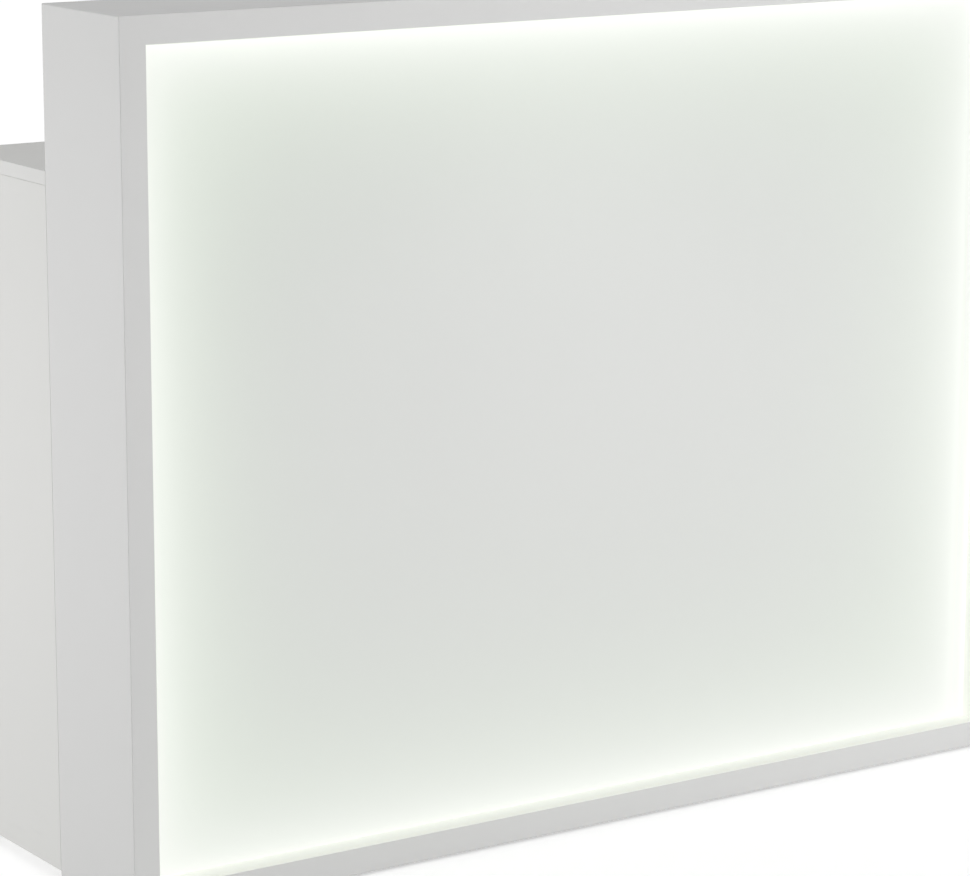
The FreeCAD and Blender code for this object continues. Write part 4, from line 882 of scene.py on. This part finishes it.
def studio_floor(studio):
    """A pale matt floor, lifted to white where it is seen. The lift is less round the desk, where the lamps
    light the floor too, so that the desk's shadow stays."""
    shade = new_shade("studio_floor")
    tone = shade.blend(shade.noise(1.5), studio.floor, darker(studio.floor, 0.98))
    matt = shade.node("ShaderNodeBsdfDiffuse", inputs={"Color": tone})
    distance = shade.node("ShaderNodeVectorMath", {"operation": "LENGTH"}, {0: shade.place()}, "Value")
    far = distance.rise(studio.lift_from, studio.lift_to)
    lift = shade.blend(far, darker(WHITE, studio.near_lift), darker(WHITE, studio.far_lift))
    shine = shade.node("ShaderNodeEmission", inputs={"Color": lift})
    lifted = shade.node("ShaderNodeAddShader", inputs={0: matt, 1: shine})
    shown = shade.node("ShaderNodeMixShader", inputs={0: seen(shade), 1: matt, 2: lifted})
    shade.node("ShaderNodeOutputMaterial", inputs={"Surface": shown})
    return shade.owner


def studio_sky(studio):
    """Even light from all round, white where it is seen."""
    shade = Shade(bpy.data.worlds.new("studio_sky"))
    soft, plain = (shade.node("ShaderNodeBackground", inputs={"Color": solid(WHITE), "Strength": strength})
                   for strength in (studio.sky, 1.0))
    shown = shade.node("ShaderNodeMixShader", inputs={0: seen(shade), 1: soft, 2: plain})
    shade.node("ShaderNodeOutputWorld", inputs={"Surface": shown})
    return shade.owner


def soft_lamp(name, power, place, target, size, mirrored):
    """A rectangular lamp that faces a target. One that isn't mirrored leaves no bright image in metal."""
    lamp = bpy.data.lights.new(name, "AREA")
    lamp.shape = "RECTANGLE"
    lamp.size, lamp.size_y = size
    lamp.energy = power
    holder = bpy.data.objects.new(name, lamp)
    holder.location = place
    holder.rotation_euler = (Vector(target) - Vector(place)).to_track_quat("-Z", "Y").to_euler()
    holder.visible_glossy = mirrored
    bpy.context.scene.collection.objects.link(holder)


class DESK_OT_stage(bpy.types.Operator):
    """Lay the floor, set the lamps and aim the camera"""
    bl_idname = "desk.stage"
    bl_label = "Stage"

    def execute(self, context):
        scene = context.scene
        studio = scene.desk_studio
        mesh = bpy.data.meshes.new("floor")
        corners = ((-1, -1), (1, -1), (1, 1), (-1, 1))
        mesh.from_pydata([(x * FLOOR_REACH, y * FLOOR_REACH, 0.0) for x, y in corners], [], [(0, 1, 2, 3)])
        mesh.materials.append(studio_floor(studio))
        floor = bpy.data.objects.new("floor", mesh)
        scene.collection.objects.link(floor)
        scene.world = studio_sky(studio)
        for name, setting in LAMPS.items():
            soft_lamp(name, getattr(studio, name), *setting)

        camera = bpy.data.cameras.new("camera")
        camera.sensor_fit = "HORIZONTAL"
        camera.sensor_width = SENSOR_WIDTH
        camera.lens = studio.lens
        camera.clip_end = SIGHT
        holder = bpy.data.objects.new("camera", camera)
        place = (CAD_BOX[0].x - studio.camera_left, CAD_BOX[0].y - studio.camera_ahead, studio.camera_height)
        holder.matrix_world = (Matrix.Translation(place) @ Matrix.Rotation(-studio.heading, 4, "Z")
                               @ Matrix.Rotation(math.pi / 2 - studio.dip, 4, "X")
                               @ Matrix.Rotation(studio.roll, 4, "Z"))
        scene.collection.objects.link(holder)
        scene.camera = holder
        scene.view_settings.view_transform = "Standard"
        return {"FINISHED"}


class DESK_PT_sidebar(bpy.types.Panel):
    """Buttons and sizes of the desk"""
    bl_idname = "DESK_PT_sidebar"
    bl_label = "Reception desk"
    bl_space_type = "VIEW_3D"
    bl_region_type = "UI"
    bl_category = "Desk"

    def draw(self, context):
        for operator in OPERATORS:
            self.layout.operator(operator.bl_idname)
        for name, group in GROUPS.items():
            box = self.layout.box()
            for size in group.__annotations__:
                box.prop(getattr(context.scene, name), size)


OPERATORS = (DESK_OT_front_frame, DESK_OT_light_box, DESK_OT_worktop, DESK_OT_cable_ways, DESK_OT_driver,
             DESK_OT_screws, DESK_OT_knock_down, DESK_OT_levelling_feet, DESK_OT_stage)
GROUPS = {"desk_colours": DeskColours, "desk_glow": DeskGlow, "desk_fittings": DeskFittings,
          "desk_studio": DeskStudio}


def register():
    """Make the classes known and put the sizes on the scene."""
    for cls in (*GROUPS.values(), *OPERATORS, DESK_PT_sidebar):
        bpy.utils.register_class(cls)
    for name, group in GROUPS.items():
        setattr(bpy.types.Scene, name, bpy.props.PointerProperty(type=group))


def unregister():
    """Take the sizes off the scene and forget the classes."""
    for name in GROUPS:
        delattr(bpy.types.Scene, name)
    for cls in (DESK_PT_sidebar, *reversed(OPERATORS), *GROUPS.values()):
        bpy.utils.unregister_class(cls)


def main():
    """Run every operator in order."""
    register()
    for operator in OPERATORS:
        group, name = operator.bl_idname.split(".")
        getattr(getattr(bpy.ops, group), name)()


if __name__ == "__main__":
    main()
